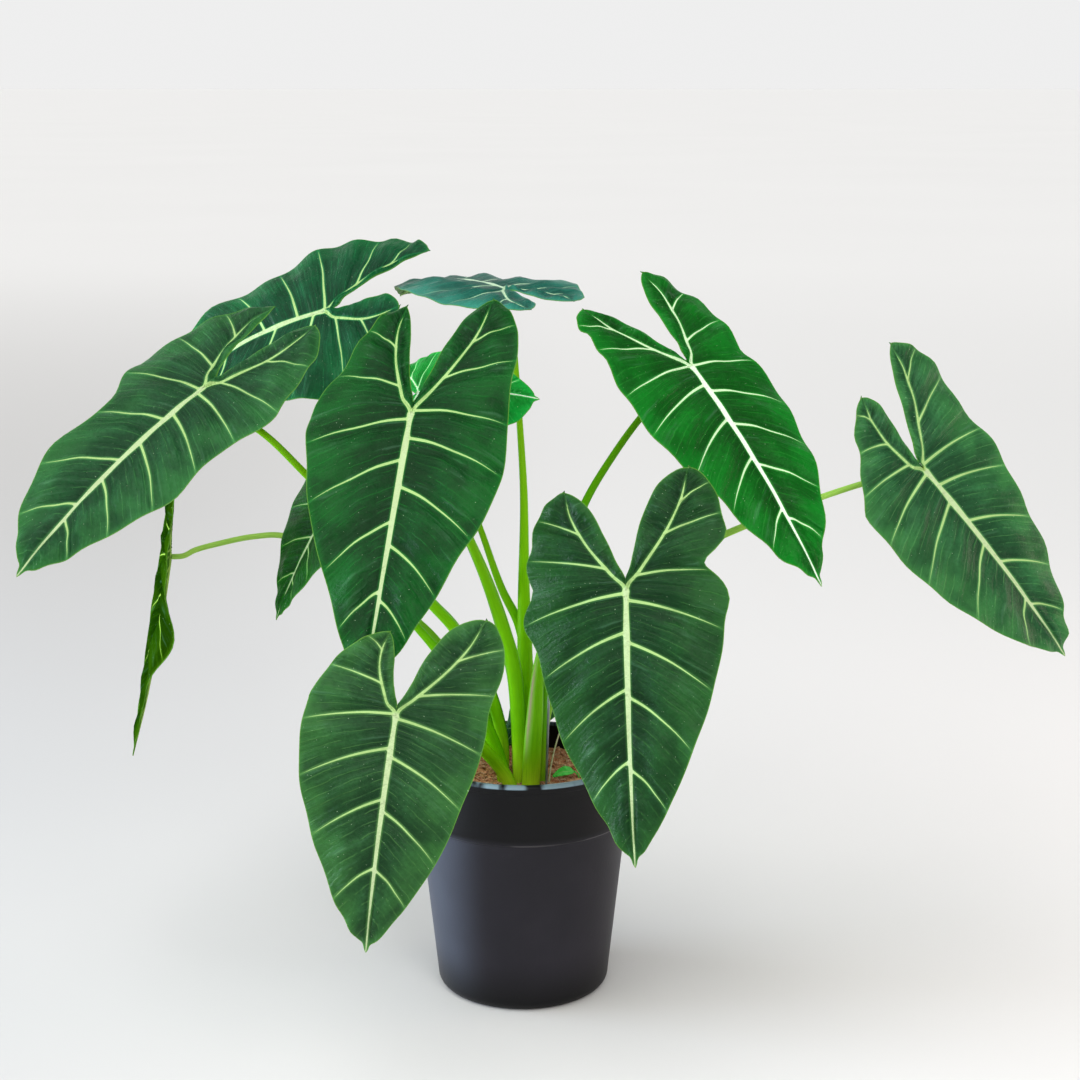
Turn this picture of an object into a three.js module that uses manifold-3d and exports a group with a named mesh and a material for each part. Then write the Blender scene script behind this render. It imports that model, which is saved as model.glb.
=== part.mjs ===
// Potted alocasia: a black nursery pot of soil with twelve long-stalked arrow-shaped leaves.
// Millimetres, +Z up, -Y is the front. The origin is the centre of the pot's flat bottom.
import * as THREE from 'three';
import { mergeVertices } from 'three/addons/utils/BufferGeometryUtils.js';
import Module from 'manifold-3d';

const wasm = await Module();
wasm.setup();

// ---- driving dimensions -------------------------------------------------------------
const POT_H = 226; // pot height
const RIM_R = 101; // outer radius of the rolled lip
const COLLAR_R = 99.5; // outer radius of the collar under the lip
const COLLAR_H = 57; // height of the collar, lip included
const BODY_R = 97.5; // body radius just under the collar
const BASE_R = 79.5; // body radius at the foot
const FOOT_ROUND = 11; // radius of the rounded foot corner
const WALL = 2; // pot wall
const LIP_H = 8; // height of the rolled lip
const LIP_IN = 5; // how far the lip reaches inwards
const DRAIN_R = 5; // drain holes in the pot's floor
const DRAIN_RING = 52;
const DRAIN_COUNT = 6;
const SOIL_Z = 200; // mean height of the soil
const SOIL_RELIEF = 2.4; // how far the bark chips stand up
const GAP = 0.3; // clearance between touching pieces
const SEAT_GAP = 0.4; // clearance between a blade and its stalk
const ROOT_Z = 178; // depth to which the leaf stalks stand in the soil
const SHEATH = 0.47; // share of a stalk that is its thick sheath
const SHEATH_EDGE = 7; // how abruptly the sheath ends, as a power
const NECK = 12; // length of the bend by which a stalk meets its blade
const BLADE_T = 1.3; // blade thickness along the ribs
const EDGE_T = 0.9; // blade thickness at the margin
const KEEL = 1.7; // how far the midrib stands out below the blade at its foot
const QUILT = 0.008; // how far the blade swells between two side veins, per blade length
const WAVE = 0.016; // height of the margin's waves, per blade length

// ---- the blade outline, in units of the length from stalk to tip ---------------------
// x is sideways and s runs from the stalk (0) to the tip (1) and back into the lobes (-).
// Station 0 is the tip, 2 to 5 carry the side veins, 5 is the stalk and 9 the lobe's end.
const STALK_AT = 5;
const LOBE_AT = 9;
const SPINE = [
  [0, 1], [0, 0.83], [0, 0.63], [0, 0.36], [0, 0.155], [0, 0],
  [0.055, -0.075], [0.14, -0.205], [0.19, -0.32], [0.208, -0.43],
];
const MARGIN = [
  [0, 1], [0.062, 0.905], [0.14, 0.78], [0.25, 0.555], [0.328, 0.33], [0.365, 0.09],
  [0.355, -0.11], [0.337, -0.27], [0.283, -0.385], [0.208, -0.43],
];
const SINUS = [[0, -0.05], [0.028, -0.12], [0.068, -0.245], [0.122, -0.365], [0.208, -0.43]];
const NOTCH = SINUS[0][1]; // where the sinus ends, and from where the lobes splay
const SINUS_EASE = 1.5; // stations over which the sinus takes its own width
const BUMP_SPAN = 0.75; // half width, in stations, of a bump in the margin
const FLARE_SPAN = 0.6; // half width, in stations, of a raised stretch of margin
const ROWS_PER_STATION = 2;
const OUTER_COLUMNS = [0, 0.06, 0.36, 0.7, 1]; // from the rib to the outer margin
const INNER_COLUMNS = [0, 0.2, 1]; // from the rib to the sinus margin

// ---- the leaves ---------------------------------------------------------------------
// at: where the stalk meets the blade. len: stalk to tip. head, pitch, roll: where the tip
// points, degrees. droop: how far the midrib bends down. Pairs are the leaf's own right and
// left half: wide (width), lobe (lobe length), splay (lobes apart), sinus (width from a
// lobe's rib to the sinus), fold (degrees up from flat at the midrib), curl (further bend
// out to the margin). wave: the height of the margin's waves, as a share of WAVE. bumps
// widen and flare raises the margin at a station: [half, station, size]. via: the stalk's
// way from the soil up to the blade. thick: stalk radius at foot and top.
const LEAVES = [
  { name: 'left_outer', at: [-278, -66, 577], len: 229, head: -140, pitch: -30, roll: 16,
    droop: 20, wide: [1.07, 1.02], lobe: [1.13, 1.14], splay: [-0.28, -0.25],
    sinus: [0.4, 0.87], fold: [5, 3], curl: [-15, -13], sickle: 0.02, twist: 28, phase: 0.3,
    thick: [7.4, 3], bumps: [['R', 1.7, 0.1], ['R', 4, -0.31], ['L', 2.6, -0.04],
    ['L', 4.4, -0.2], ['L', 7, -0.05]], via: [[-18, 7, 200], [-19, 5, 240], [-32, -2, 290],
    [-61, -16, 348], [-80, -30, 374], [-134, -64, 441], [-189, -78, 505], [-226, -72, 540]] },
  { name: 'left_upper', at: [-190, 110, 626], len: 233, head: 166, pitch: -15, roll: 41,
    droop: 36, wide: [1.13, 1.03], lobe: [1.06, 0.79], splay: [-0.11, -0.38],
    sinus: [0.24, 1.07], fold: [6, -6], curl: [-20, -15], sickle: -0.09, twist: 13, phase: 1.1,
    thick: [7.4, 3], bumps: [['R', 2.4, 0.15], ['R', 4, -0.17], ['L', 4, -0.07],
    ['L', 5.5, 0.09]], via: [[-3, 20, 200], [-4, 20, 240], [-9, 24, 298], [-28, 40, 364],
    [-55, 60, 425], [-108, 96, 520], [-158, 124, 584]] },
  { name: 'centre_left', at: [-92, -141, 566], len: 248, head: -99, pitch: -45, roll: 2,
    droop: 23, wide: [0.92, 0.97], lobe: [1.08, 1.1], splay: [-0.29, 0.07], sinus: [0.57, 1],
    fold: [0, 14], curl: [-12, -11], sickle: 0.04, twist: 4, phase: 2, thick: [7.4, 3],
    bumps: [['R', 2.4, -0.04], ['R', 5.5, 0.08], ['R', 7, -0.08], ['L', 4, 0.06],
    ['L', 5.5, -0.04]], via: [[-2, -12, 200], [-3, -13, 240], [-9, -15, 316], [-25, -20, 373],
    [-43, -35, 426], [-65, -55, 486], [-83, -85, 540]] },
  { name: 'young_middle', at: [-92, -5, 565], len: 127, head: -48, pitch: 13, roll: -61,
    droop: 43, wide: [1.59, 1.06], lobe: [1, 0.92], fold: [-8, -7], curl: [-14, -15],
    sickle: 0.01, twist: -1, wave: 0.6, phase: 0.6, thick: [6.2, 2.4], bumps: [['R', 1, 0.24],
    ['L', 1, 0.08]], via: [[12, 20, 200], [11, 21, 240], [6, 26, 292], [-3, 26, 340],
    [-20, 12, 381], [-37, 2, 434], [-61, 2, 503]] },
  { name: 'front_left_low', at: [-97, -300, 352], len: 195, head: -118, pitch: -71, roll: 22,
    droop: 24, wide: [1.06, 1.01], lobe: [0.77, 1.01], splay: [-0.38, 0.23],
    sinus: [0.57, 1.36], fold: [4, 1], curl: [-13, -14], twist: 1, phase: 1.7,
    thick: [6.4, 2.9], bumps: [['R', 5.5, -0.04], ['L', 4, -0.04], ['L', 7, 0.06]],
    via: [[-9, -27, 190], [-14, -28, 208], [-33, -39, 238], [-64, -99, 285],
    [-85, -185, 321]] },
  { name: 'top', at: [-18, 60, 653], len: 214, head: 124, pitch: 6, roll: 5, droop: 26,
    wide: [0.97, 0.9], lobe: [0.85, 0.92], splay: [-0.23, -0.17], fold: [-1, 3],
    curl: [-6, -14], sickle: 0.04, twist: -4, wave: 0.25, phase: 0.9, thick: [7.8, 2.6],
    bumps: [['R', 7, -0.1], ['L', 7, -0.15]], flare: [['R', 4, -0.05]], via: [[-2, 4, 200],
    [1, 4, 240], [2, 7, 293], [1, 17, 377], [1, 31, 464], [-3, 45, 533], [-6, 52, 574],
    [-10, 60, 614]] },
  { name: 'right_upper', at: [151, -35, 591], len: 228, head: -49, pitch: -40, roll: -17,
    droop: 22, wide: [0.98, 0.89], lobe: [0.87, 1.17], splay: [0.25, -0.27], sinus: [1, 0.83],
    fold: [15, -1], curl: [-5, -14], sickle: -0.01, twist: -13, phase: 2.6, thick: [7.4, 3],
    bumps: [['R', 4, 0.06], ['R', 5.5, 0.06], ['R', 7, -0.06], ['L', 4, -0.06],
    ['L', 5.5, -0.23]], via: [[14, -9, 200], [15, -10, 240], [23, -9, 336], [39, 2, 409],
    [57, 8, 461], [83, 8, 506], [109, 0, 544], [131, -8, 568]] },
  { name: 'front_right', at: [87, -197, 428], len: 231, head: -89, pitch: -70, roll: -17,
    droop: 20, wide: [1.03, 0.97], lobe: [0.86, 1.01], splay: [0.05, 0.08], sinus: [0.96, 1.3],
    fold: [-2, 5], curl: [-13, -14], sickle: 0.02, twist: -5, phase: 0.2, thick: [8.6, 3],
    bumps: [['R', 4, -0.05], ['R', 5.5, 0.09], ['L', 7, 0.03]], via: [[7, -27, 190],
    [8, -27, 215], [11, -28, 265], [16, -32, 324], [30, -60, 378], [55, -110, 421]] },
  { name: 'right_outer', at: [370, 15, 489], len: 238, head: -12, pitch: -48, roll: -57,
    droop: 31, wide: [0.94, 0.89], lobe: [0.88, 1.06], splay: [-0.51, 0.18],
    sinus: [0.88, 0.79], fold: [13, -1], curl: [-12, -15], sickle: -0.06, twist: -2, phase: 1.3,
    thick: [7.2, 2.8], bumps: [['R', 2.4, 0.04], ['R', 7, -0.2], ['L', 4, -0.1],
    ['L', 7, 0.09]], via: [[16, 6, 200], [17, 7, 240], [36, 20, 309], [83, 30, 365],
    [138, 38, 401], [198, 42, 429], [277, 42, 460], [319, 42, 474], [345, 36, 482]] },
  { name: 'left_hanging', at: [-338, 82, 396], len: 206, head: 175, pitch: -81, roll: 16,
    droop: -7, wide: [0.86, 0.95], lobe: [0.9, 0.75], fold: [10, 11], curl: [-10, -14],
    twist: 2, wave: 0.2, phase: 2.2, thick: [6.8, 2.6], flare: [['L', 4, -0.08]],
    via: [[-18, 23, 180], [-20, 23, 200], [-33, 20, 252], [-80, 28, 321], [-98, 35, 339],
    [-167, 88, 380], [-233, 122, 406], [-263, 120, 406], [-295, 112, 401], [-317, 100, 397]] },
  { name: 'left_inner', at: [-163, 20, 481], len: 152, head: -172, pitch: -57, roll: 29,
    droop: 18, wide: [1.03, 0.95], lobe: [1, 1], fold: [7, 11], curl: [-15, -13], sickle: 0.04,
    twist: -1, wave: 0.5, phase: 0.5, thick: [6.8, 2.6], via: [[-17, -9, 190], [-20, -9, 215],
    [-38, -10, 262], [-76, -5, 321], [-118, 5, 371], [-148, 24, 425]] },
  { name: 'small_back', at: [21, 64, 267], len: 70, head: 185, pitch: -52, roll: 50, droop: 10,
    wide: [1, 1], lobe: [0.9, 0.9], fold: [4, 4], curl: [-10, -10], phase: 1.9, thick: [4, 2],
    via: [[5, 46, 200], [10, 60, 226], [19, 72, 250]] },
];

// ---- small pieces on the soil --------------------------------------------------------
const STAKE = { from: [21, -24, 170], to: [27, -18, 392], r: 1.2 };
const TWIG = { via: [[24, -20, 192], [25, -15, 208], [30, 10, 226], [38, 38, 243]], r: 0.9 };
const SEEDLING = { via: [[52, -2, 192], [52, -3, 203], [48, -4, 208]], tip: [27, -4, 203],
  width: 11, stem: 0.8 };

// ---- materials ----------------------------------------------------------------------
function look(color, roughness, metalness = 0) {
  return new THREE.MeshStandardMaterial({ color, roughness, metalness });
}
const bladeGreen = look(0x1d5230, 0.5);
const bladeBright = look(0x2f8a45, 0.45);
const stalkGreen = look(0x6fae1c, 0.45);
const stalkOlive = look(0x6f9a45, 0.5);
const potBlack = look(0x2b2a31, 0.4);
const soilBrown = look(0x8a4a2c, 0.95);
const stakeGrey = look(0x7d878a, 0.4, 0.6);
const strawPale = look(0xc9c99a, 0.8);
const seedlingGreen = look(0x3fc437, 0.45);
const BRIGHT_LEAVES = ['young_middle', 'right_upper'];
const OLIVE_STALKS = ['right_outer', 'left_hanging'];

// ---- solids and cuts ----------------------------------------------------------------
function closedGeometry(points, triangles) {
  const geometry = new THREE.BufferGeometry();
  geometry.setAttribute('position', new THREE.Float32BufferAttribute(points, 3));
  geometry.setIndex(triangles);
  return geometry;
}

function toManifold(geometry) {
  const bare = geometry.clone();
  bare.deleteAttribute('normal');
  bare.deleteAttribute('uv');
  const merged = mergeVertices(bare, 1e-4);
  return new wasm.Manifold(new wasm.Mesh({
    numProp: 3,
    vertProperties: new Float32Array(merged.attributes.position.array),
    triVerts: new Uint32Array(merged.index.array),
  }));
}

function fromManifold(solid) {
  const mesh = solid.getMesh();
  const geometry = closedGeometry(Array.from(mesh.vertProperties), Array.from(mesh.triVerts));
  geometry.computeVertexNormals();
  return geometry;
}

// what is left of a solid after cuts, without loose scraps
function largestBody(solid) {
  const bodies = solid.decompose();
  return bodies.reduce((a, b) => (b.volume() > a.volume() ? b : a));
}

// ---- the blade ----------------------------------------------------------------------
// a smooth line through the points, by their number; it ends heading for the point beyond
function smooth(points, beyond = []) {
  const way = [...points, ...beyond].map(([x, s]) => new THREE.Vector3(x, s, 0));
  const curve = new THREE.CatmullRomCurve3(way, false, 'catmullrom', 0.5);
  return (t) => curve.getPoint(t / (way.length - 1));
}
const spineAt = smooth(SPINE);
const marginAt = smooth(MARGIN, [SINUS.at(-2)]);
const sinusAt = smooth(SINUS, [MARGIN.at(-2)]);

// the bell-shaped swellings of one half at a station
function swelling(list = [], half, t, width) {
  const here = list.filter(([where]) => where === half);
  return here.reduce((sum, [, at, size]) => sum + size * Math.exp(-(((t - at) / width) ** 2)), 0);
}

// a point of the flat blade: t is the station, u runs from the rib (0) to a margin (1)
function flatPoint(leaf, half, inner, t, u) {
  const k = half === 'R' ? 0 : 1;
  const rib = spineAt(t);
  const edge = inner ? sinusAt(t - STALK_AT) : marginAt(t);
  const near = Math.min(1, (t - STALK_AT) / SINUS_EASE);
  const width = inner
    ? 1 + ((leaf.sinus ?? [1, 1])[k] - 1) * near
    : 1 + swelling(leaf.bumps, half, t, BUMP_SPAN);
  edge.sub(rib).multiplyScalar(width).add(rib);
  // the side veins arch: out from the rib first, then towards the tip
  const sag = inner ? 0 : 0.1 * (edge.y - rib.y) + 0.02;
  const x = rib.x + (edge.x - rib.x) * u;
  const s = rib.y + (edge.y - rib.y) * u - 2 * u * (1 - u) * sag;
  const splayed = (leaf.splay ?? [0, 0])[k] * Math.max(NOTCH - s, 0);
  const side = (half === 'R' ? 1 : -1) * (x * leaf.wide[k] + splayed);
  return [side, s < 0 ? s * leaf.lobe[k] : s];
}

function leafAxes(leaf) {
  const [h, p, r] = [leaf.head, leaf.pitch, leaf.roll].map(THREE.MathUtils.degToRad);
  const S = new THREE.Vector3(Math.cos(h) * Math.cos(p), Math.sin(h) * Math.cos(p), Math.sin(p));
  const X0 = new THREE.Vector3(Math.sin(h), -Math.cos(h), 0);
  const N0 = X0.clone().cross(S);
  const X = X0.clone().multiplyScalar(Math.cos(r)).addScaledVector(N0, Math.sin(r));
  const N = N0.clone().multiplyScalar(Math.cos(r)).addScaledVector(X0, -Math.sin(r));
  return { S, X, N };
}

// lays a point of the flat blade on the drooping, folded leaf, raised by lift
function bend(leaf, axes, x, s, lift) {
  const L = leaf.len;
  const rad = THREE.MathUtils.degToRad;
  const k = leaf.curl[x >= 0 ? 0 : 1];
  const fold = rad(leaf.fold[x >= 0 ? 0 : 1]);
  const droop = -rad(leaf.droop);
  const ahead = Math.max(s, 0);
  const along = s < 0 ? s * L : (L * Math.sin(droop * ahead)) / droop;
  const up = s < 0 ? 0 : (L * (1 - Math.cos(droop * ahead))) / droop;
  const n = axes.N.clone().multiplyScalar(Math.cos(droop * ahead));
  n.addScaledVector(axes.S, -Math.sin(droop * ahead));
  const turn = rad(leaf.twist ?? 0) * ahead;
  const curl = rad(k) / (0.36 * L);
  const a = Math.abs(x) * L;
  const out = ((Math.sin(fold + curl * a) - Math.sin(fold)) / curl) * Math.sign(x);
  const rise = -(Math.cos(fold + curl * a) - Math.cos(fold)) / curl;
  const sickle = (leaf.sickle ?? 0) * ahead ** 2 * L;
  const side = out * Math.cos(turn) - rise * Math.sin(turn) + sickle;
  const high = out * Math.sin(turn) + rise * Math.cos(turn) + lift * L;
  return new THREE.Vector3(...leaf.at)
    .addScaledVector(axes.S, along).addScaledVector(axes.N, up)
    .addScaledVector(axes.X, side).addScaledVector(n, high);
}

// quilting between the side veins, and waves and flares along the margin
function lift(leaf, half, inner, t, u) {
  const between = 0.5 - 0.5 * Math.cos(2 * Math.PI * t);
  const ends = Math.min(1, t, LOBE_AT - t);
  const quilt = QUILT * between * Math.sin(Math.PI * u) * ends;
  const turn = half === 'R' ? 0 : 1.7;
  const roll = Math.sin(1.9 * t + leaf.phase * 3 + turn) + 0.7 * Math.cos(2 * Math.PI * t);
  const wave = (inner ? 0.3 : 1) * (leaf.wave ?? 1) * WAVE * roll * ends * u ** 3;
  return quilt + wave + swelling(leaf.flare, half, t, FLARE_SPAN) * u ** 2;
}

function bladeSheet(leaf) {
  const axes = leafAxes(leaf);
  const points = [];
  const depth = [];
  const index = new Map();
  const triangles = [];
  const last = LOBE_AT * ROWS_PER_STATION;
  const stalkRow = STALK_AT * ROWS_PER_STATION;
  const at = (half, inner, i, j, columns) => {
    let key = `${half}${inner}${i},${j}`;
    if (i === 0) key = 'tip';
    else if (i === last) key = `lobe${half}`;
    else if (j === 0) key = i <= stalkRow ? `mid${i}` : `rib${half}${i}`;
    else if (inner && i === stalkRow) key = `sinus${j}`;
    if (!index.has(key)) {
      const t = i / ROWS_PER_STATION;
      const u = columns[j];
      const [x, s] = flatPoint(leaf, half, inner, t, u);
      index.set(key, points.length);
      points.push(bend(leaf, axes, x, s, lift(leaf, half, inner, t, u)));
      depth.push(j === 0 ? Math.min(1, t / 4, (LOBE_AT - t) / 4) * KEEL : -u);
    }
    return index.get(key);
  };
  const quad = (a, b, c, d, flip) => {
    for (const tri of [[a, b, c], [a, c, d]]) {
      if (new Set(tri).size === 3) triangles.push(flip ? tri.reverse() : tri);
    }
  };
  for (const half of ['R', 'L']) {
    for (const inner of [false, true]) {
      const columns = inner ? INNER_COLUMNS : OUTER_COLUMNS;
      for (let i = inner ? stalkRow : 0; i < last; i++) {
        for (let j = 0; j + 1 < columns.length; j++) {
          const corner = [[i, j], [i + 1, j], [i + 1, j + 1], [i, j + 1]];
          const [a, b, c, d] = corner.map(([p, q]) => at(half, inner, p, q, columns));
          quad(a, b, c, d, (half === 'R') === inner);
        }
      }
    }
  }
  return { points, depth, triangles };
}

function sheetNormals(points, triangles) {
  const normals = points.map(() => new THREE.Vector3());
  for (const [a, b, c] of triangles) {
    const ab = points[b].clone().sub(points[a]);
    const n = ab.cross(points[c].clone().sub(points[a]));
    for (const v of [a, b, c]) normals[v].add(n);
  }
  return normals.map((n) => n.normalize());
}

// the blade as a closed solid, ribs thicker below, grown by extra on every side
function bladeSolid(leaf, extra = 0) {
  const { points, depth, triangles } = bladeSheet(leaf);
  const normals = sheetNormals(points, triangles);
  const top = [];
  const bottom = [];
  points.forEach((p, v) => {
    const half = depth[v] < 0 ? BLADE_T / 2 + ((EDGE_T - BLADE_T) / 2) * -depth[v] : BLADE_T / 2;
    top.push(...p.clone().addScaledVector(normals[v], half + extra).toArray());
    const keel = Math.max(depth[v], 0);
    bottom.push(...p.clone().addScaledVector(normals[v], -half - keel - extra).toArray());
  });
  const count = points.length;
  const faces = [];
  const open = new Map();
  for (const [a, b, c] of triangles) {
    faces.push(a, b, c, a + count, c + count, b + count);
    for (const [p, q] of [[a, b], [b, c], [c, a]]) {
      if (!open.delete(`${q},${p}`)) open.set(`${p},${q}`, [p, q]);
    }
  }
  for (const [p, q] of open.values()) faces.push(q, p, p + count, q, p + count, q + count);
  return closedGeometry([...top, ...bottom], faces);
}

// ---- stalks -------------------------------------------------------------------------
// a round tapering limb along a smooth way through the points
function limb(way, radiusAt, sides = 8, step = 34) {
  const curve = new THREE.CatmullRomCurve3(way, false, 'centripetal');
  const rings = Math.max(2, Math.round(curve.getLength() / step));
  const frames = curve.computeFrenetFrames(rings, false);
  const points = [];
  const faces = [];
  for (let i = 0; i <= rings; i++) {
    const centre = curve.getPointAt(i / rings);
    const r = radiusAt(i / rings);
    for (let k = 0; k < sides; k++) {
      const a = (2 * Math.PI * k) / sides;
      const p = centre.clone().addScaledVector(frames.normals[i], r * Math.cos(a));
      points.push(...p.addScaledVector(frames.binormals[i], r * Math.sin(a)).toArray());
    }
  }
  for (let i = 0; i < rings; i++) {
    for (let k = 0; k < sides; k++) {
      const [a, b] = [i * sides + k, i * sides + ((k + 1) % sides)];
      faces.push(a, b, b + sides, a, b + sides, a + sides);
    }
  }
  const end = rings * sides;
  for (let k = 1; k + 1 < sides; k++) faces.push(0, k + 1, k, end, end + k, end + k + 1);
  return closedGeometry(points, faces);
}

function stalkWay(leaf, deeper = 0) {
  const { S, N } = leafAxes(leaf);
  const top = new THREE.Vector3(...leaf.at).addScaledVector(N, -1).addScaledVector(S, 1.5);
  const via = leaf.via.map((p) => new THREE.Vector3(...p));
  // it bends half way towards the blade's back before it meets it
  const coming = top.clone().sub(via.at(-1)).normalize();
  const neck = top.clone().addScaledVector(coming.add(N).normalize(), -NECK);
  const root = via[0].clone().setZ(ROOT_Z - deeper);
  return [root, ...via.filter((p) => p.z > ROOT_Z + 4), neck, top];
}

function stalkSolid(leaf, extra = 0) {
  const [foot, top] = leaf.thick;
  const radius = (f) => top + (foot - top) / (1 + (f / SHEATH) ** SHEATH_EDGE) + extra;
  return toManifold(limb(stalkWay(leaf, extra), radius));
}

// ---- pot and soil -------------------------------------------------------------------
function arc(r, z, radius, from, to, steps) {
  const points = [];
  for (let i = 0; i <= steps; i++) {
    const a = THREE.MathUtils.degToRad(from + ((to - from) * i) / steps);
    points.push(new THREE.Vector2(r + radius * Math.cos(a), z + radius * Math.sin(a)));
  }
  return points;
}

// inner radius of the pot at a height, by the slope of its wall
const collarZ = POT_H - COLLAR_H;
function wallRadius(z) {
  return BASE_R + ((BODY_R - BASE_R) * z) / collarZ - WALL;
}

function potSolid() {
  const v = (r, z) => new THREE.Vector2(r, z);
  const foot = BASE_R + ((BODY_R - BASE_R) * FOOT_ROUND) / collarZ;
  const innerFoot = FOOT_ROUND - WALL;
  const outer = [
    v(0, 0),
    ...arc(foot - FOOT_ROUND, FOOT_ROUND, FOOT_ROUND, -90, 0, 4),
    v(BODY_R, collarZ - 1.5), v(COLLAR_R, collarZ), v(COLLAR_R, POT_H - LIP_H - 1.5),
    v(RIM_R - 0.3, POT_H - LIP_H), v(RIM_R, POT_H - LIP_H + 3), v(RIM_R - 0.8, POT_H - 1.6),
    v(RIM_R - 2.2, POT_H - 0.3), v(RIM_R - 3.5, POT_H),
  ];
  const inner = [
    v(RIM_R - LIP_IN, POT_H - 1), v(COLLAR_R - WALL, POT_H - LIP_H), v(COLLAR_R - WALL, collarZ + 1),
    v(BODY_R - WALL, collarZ - 2), ...arc(foot - FOOT_ROUND, FOOT_ROUND, innerFoot, 0, -90, 3),
    v(0, WALL),
  ];
  const shell = new THREE.LatheGeometry([...outer, ...inner], 48).rotateX(Math.PI / 2);
  let pot = toManifold(shell);
  for (let i = 0; i < DRAIN_COUNT; i++) {
    const a = (2 * Math.PI * (i + 0.5)) / DRAIN_COUNT;
    const drill = new THREE.CylinderGeometry(DRAIN_R, DRAIN_R, 4 * WALL, 12).rotateX(Math.PI / 2);
    drill.translate(DRAIN_RING * Math.cos(a), DRAIN_RING * Math.sin(a), 0);
    pot = pot.subtract(toManifold(drill));
  }
  return fromManifold(pot);
}

// bark and coir chips: a seeded unevenness of the soil's top
function soilHeight(x, y) {
  const chip = Math.sin(0.31 * x + 1.3) * Math.cos(0.27 * y - 0.4)
    + 0.7 * Math.sin(0.53 * x - 0.45 * y + 2.1) + 0.5 * Math.cos(0.71 * y + 0.22 * x);
  return SOIL_Z + (SOIL_RELIEF * chip) / 2;
}

function soilSolid() {
  const rings = 9;
  const sectors = 36;
  const levels = [
    [collarZ + 2, COLLAR_R - WALL - GAP], [collarZ - 3, wallRadius(collarZ) - GAP - 0.3],
    [FOOT_ROUND + 2, wallRadius(FOOT_ROUND) - GAP - 0.4], [WALL + GAP, wallRadius(0) - FOOT_ROUND],
  ];
  const edge = COLLAR_R - WALL - GAP - 0.25;
  const points = [0, 0, soilHeight(0, 0)];
  const loop = (r, z) => {
    for (let k = 0; k < sectors; k++) {
      const a = (2 * Math.PI * k) / sectors;
      const [x, y] = [r * Math.cos(a), r * Math.sin(a)];
      points.push(x, y, z ?? soilHeight(x, y));
    }
  };
  for (let i = 1; i <= rings; i++) loop((edge * i) / rings);
  for (const [z, r] of levels) loop(r - 0.25, z);
  points.push(0, 0, WALL + GAP);
  const faces = [];
  const total = rings + levels.length;
  const id = (ring, k) => 1 + (ring - 1) * sectors + (k % sectors);
  for (let k = 0; k < sectors; k++) {
    faces.push(0, id(1, k), id(1, k + 1));
    for (let i = 1; i < total; i++) {
      faces.push(id(i, k), id(i + 1, k), id(i + 1, k + 1), id(i, k), id(i + 1, k + 1), id(i, k + 1));
    }
    faces.push(id(total, k), points.length / 3 - 1, id(total, k + 1));
  }
  return toManifold(closedGeometry(points, faces));
}

// ---- stake, twig and seedling --------------------------------------------------------
function stakeSolid(extra = 0) {
  const way = [STAKE.from, STAKE.to].map((p) => new THREE.Vector3(...p));
  way[0].z -= extra;
  return limb(way, () => STAKE.r + extra, 8, 300);
}

function twigSolid(extra = 0) {
  const way = TWIG.via.map((p) => new THREE.Vector3(...p));
  way[0].z -= extra;
  return limb(way, (f) => TWIG.r * (1 - 0.3 * f) + extra, 6, 9);
}

function seedlingStem(extra = 0) {
  const way = SEEDLING.via.map((p) => new THREE.Vector3(...p));
  way[0].z -= extra;
  return toManifold(limb(way, () => SEEDLING.stem + extra, 6, 4));
}

// one thin pointed oval leaf on its stem
function seedlingSolid() {
  const foot = new THREE.Vector3(...SEEDLING.via.at(-1));
  const tip = new THREE.Vector3(...SEEDLING.tip);
  const across = new THREE.Vector3(0, 0.85, 0.5).normalize();
  const rows = 8;
  const points = [];
  const faces = [];
  for (let i = 0; i <= rows; i++) {
    const f = i / rows;
    const mid = foot.clone().lerp(tip, f).add(new THREE.Vector3(0, 0, 2.5 * Math.sin(Math.PI * f)));
    const w = Math.max(0.3, (SEEDLING.width / 2) * Math.sin(Math.PI * f ** 0.8) ** 0.8);
    for (const side of [-1, 0, 1]) {
      for (const h of [0.4, -0.4]) {
        const p = mid.clone().addScaledVector(across, side * w);
        points.push(p.x, p.y, p.z + h - (side === 0 ? 1 : 0));
      }
    }
  }
  const id = (i, side, low) => i * 6 + side * 2 + low;
  const strip = (a, b, c, d) => faces.push(a, b, c, a, c, d);
  for (let i = 0; i < rows; i++) {
    for (const s of [0, 1]) {
      strip(id(i, s, 0), id(i, s + 1, 0), id(i + 1, s + 1, 0), id(i + 1, s, 0));
      strip(id(i, s, 1), id(i + 1, s, 1), id(i + 1, s + 1, 1), id(i, s + 1, 1));
    }
    strip(id(i, 0, 1), id(i, 0, 0), id(i + 1, 0, 0), id(i + 1, 0, 1));
    strip(id(i, 2, 0), id(i, 2, 1), id(i + 1, 2, 1), id(i + 1, 2, 0));
  }
  for (const s of [0, 1]) {
    strip(id(0, s, 0), id(0, s, 1), id(0, s + 1, 1), id(0, s + 1, 0));
    strip(id(rows, s, 0), id(rows, s + 1, 0), id(rows, s + 1, 1), id(rows, s, 1));
  }
  let leaf = toManifold(closedGeometry(points, faces));
  if (leaf.volume() < 0) leaf = toManifold(closedGeometry(points, faces.reverse()));
  return largestBody(leaf.add(seedlingStem()));
}

// ---- the plant, put together ---------------------------------------------------------
const plant = new THREE.Group();
plant.name = 'potted_alocasia';
function addPiece(name, geometry, material) {
  const mesh = new THREE.Mesh(geometry, material);
  mesh.name = name;
  plant.add(mesh);
}

addPiece('pot', potSolid(), potBlack);

let soil = soilSolid();
for (const leaf of LEAVES) soil = soil.subtract(stalkSolid(leaf, GAP));
soil = soil.subtract(toManifold(stakeSolid(GAP))).subtract(toManifold(twigSolid(GAP)));
soil = largestBody(soil.subtract(seedlingStem(GAP)));
addPiece('soil', fromManifold(soil), soilBrown);

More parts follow.
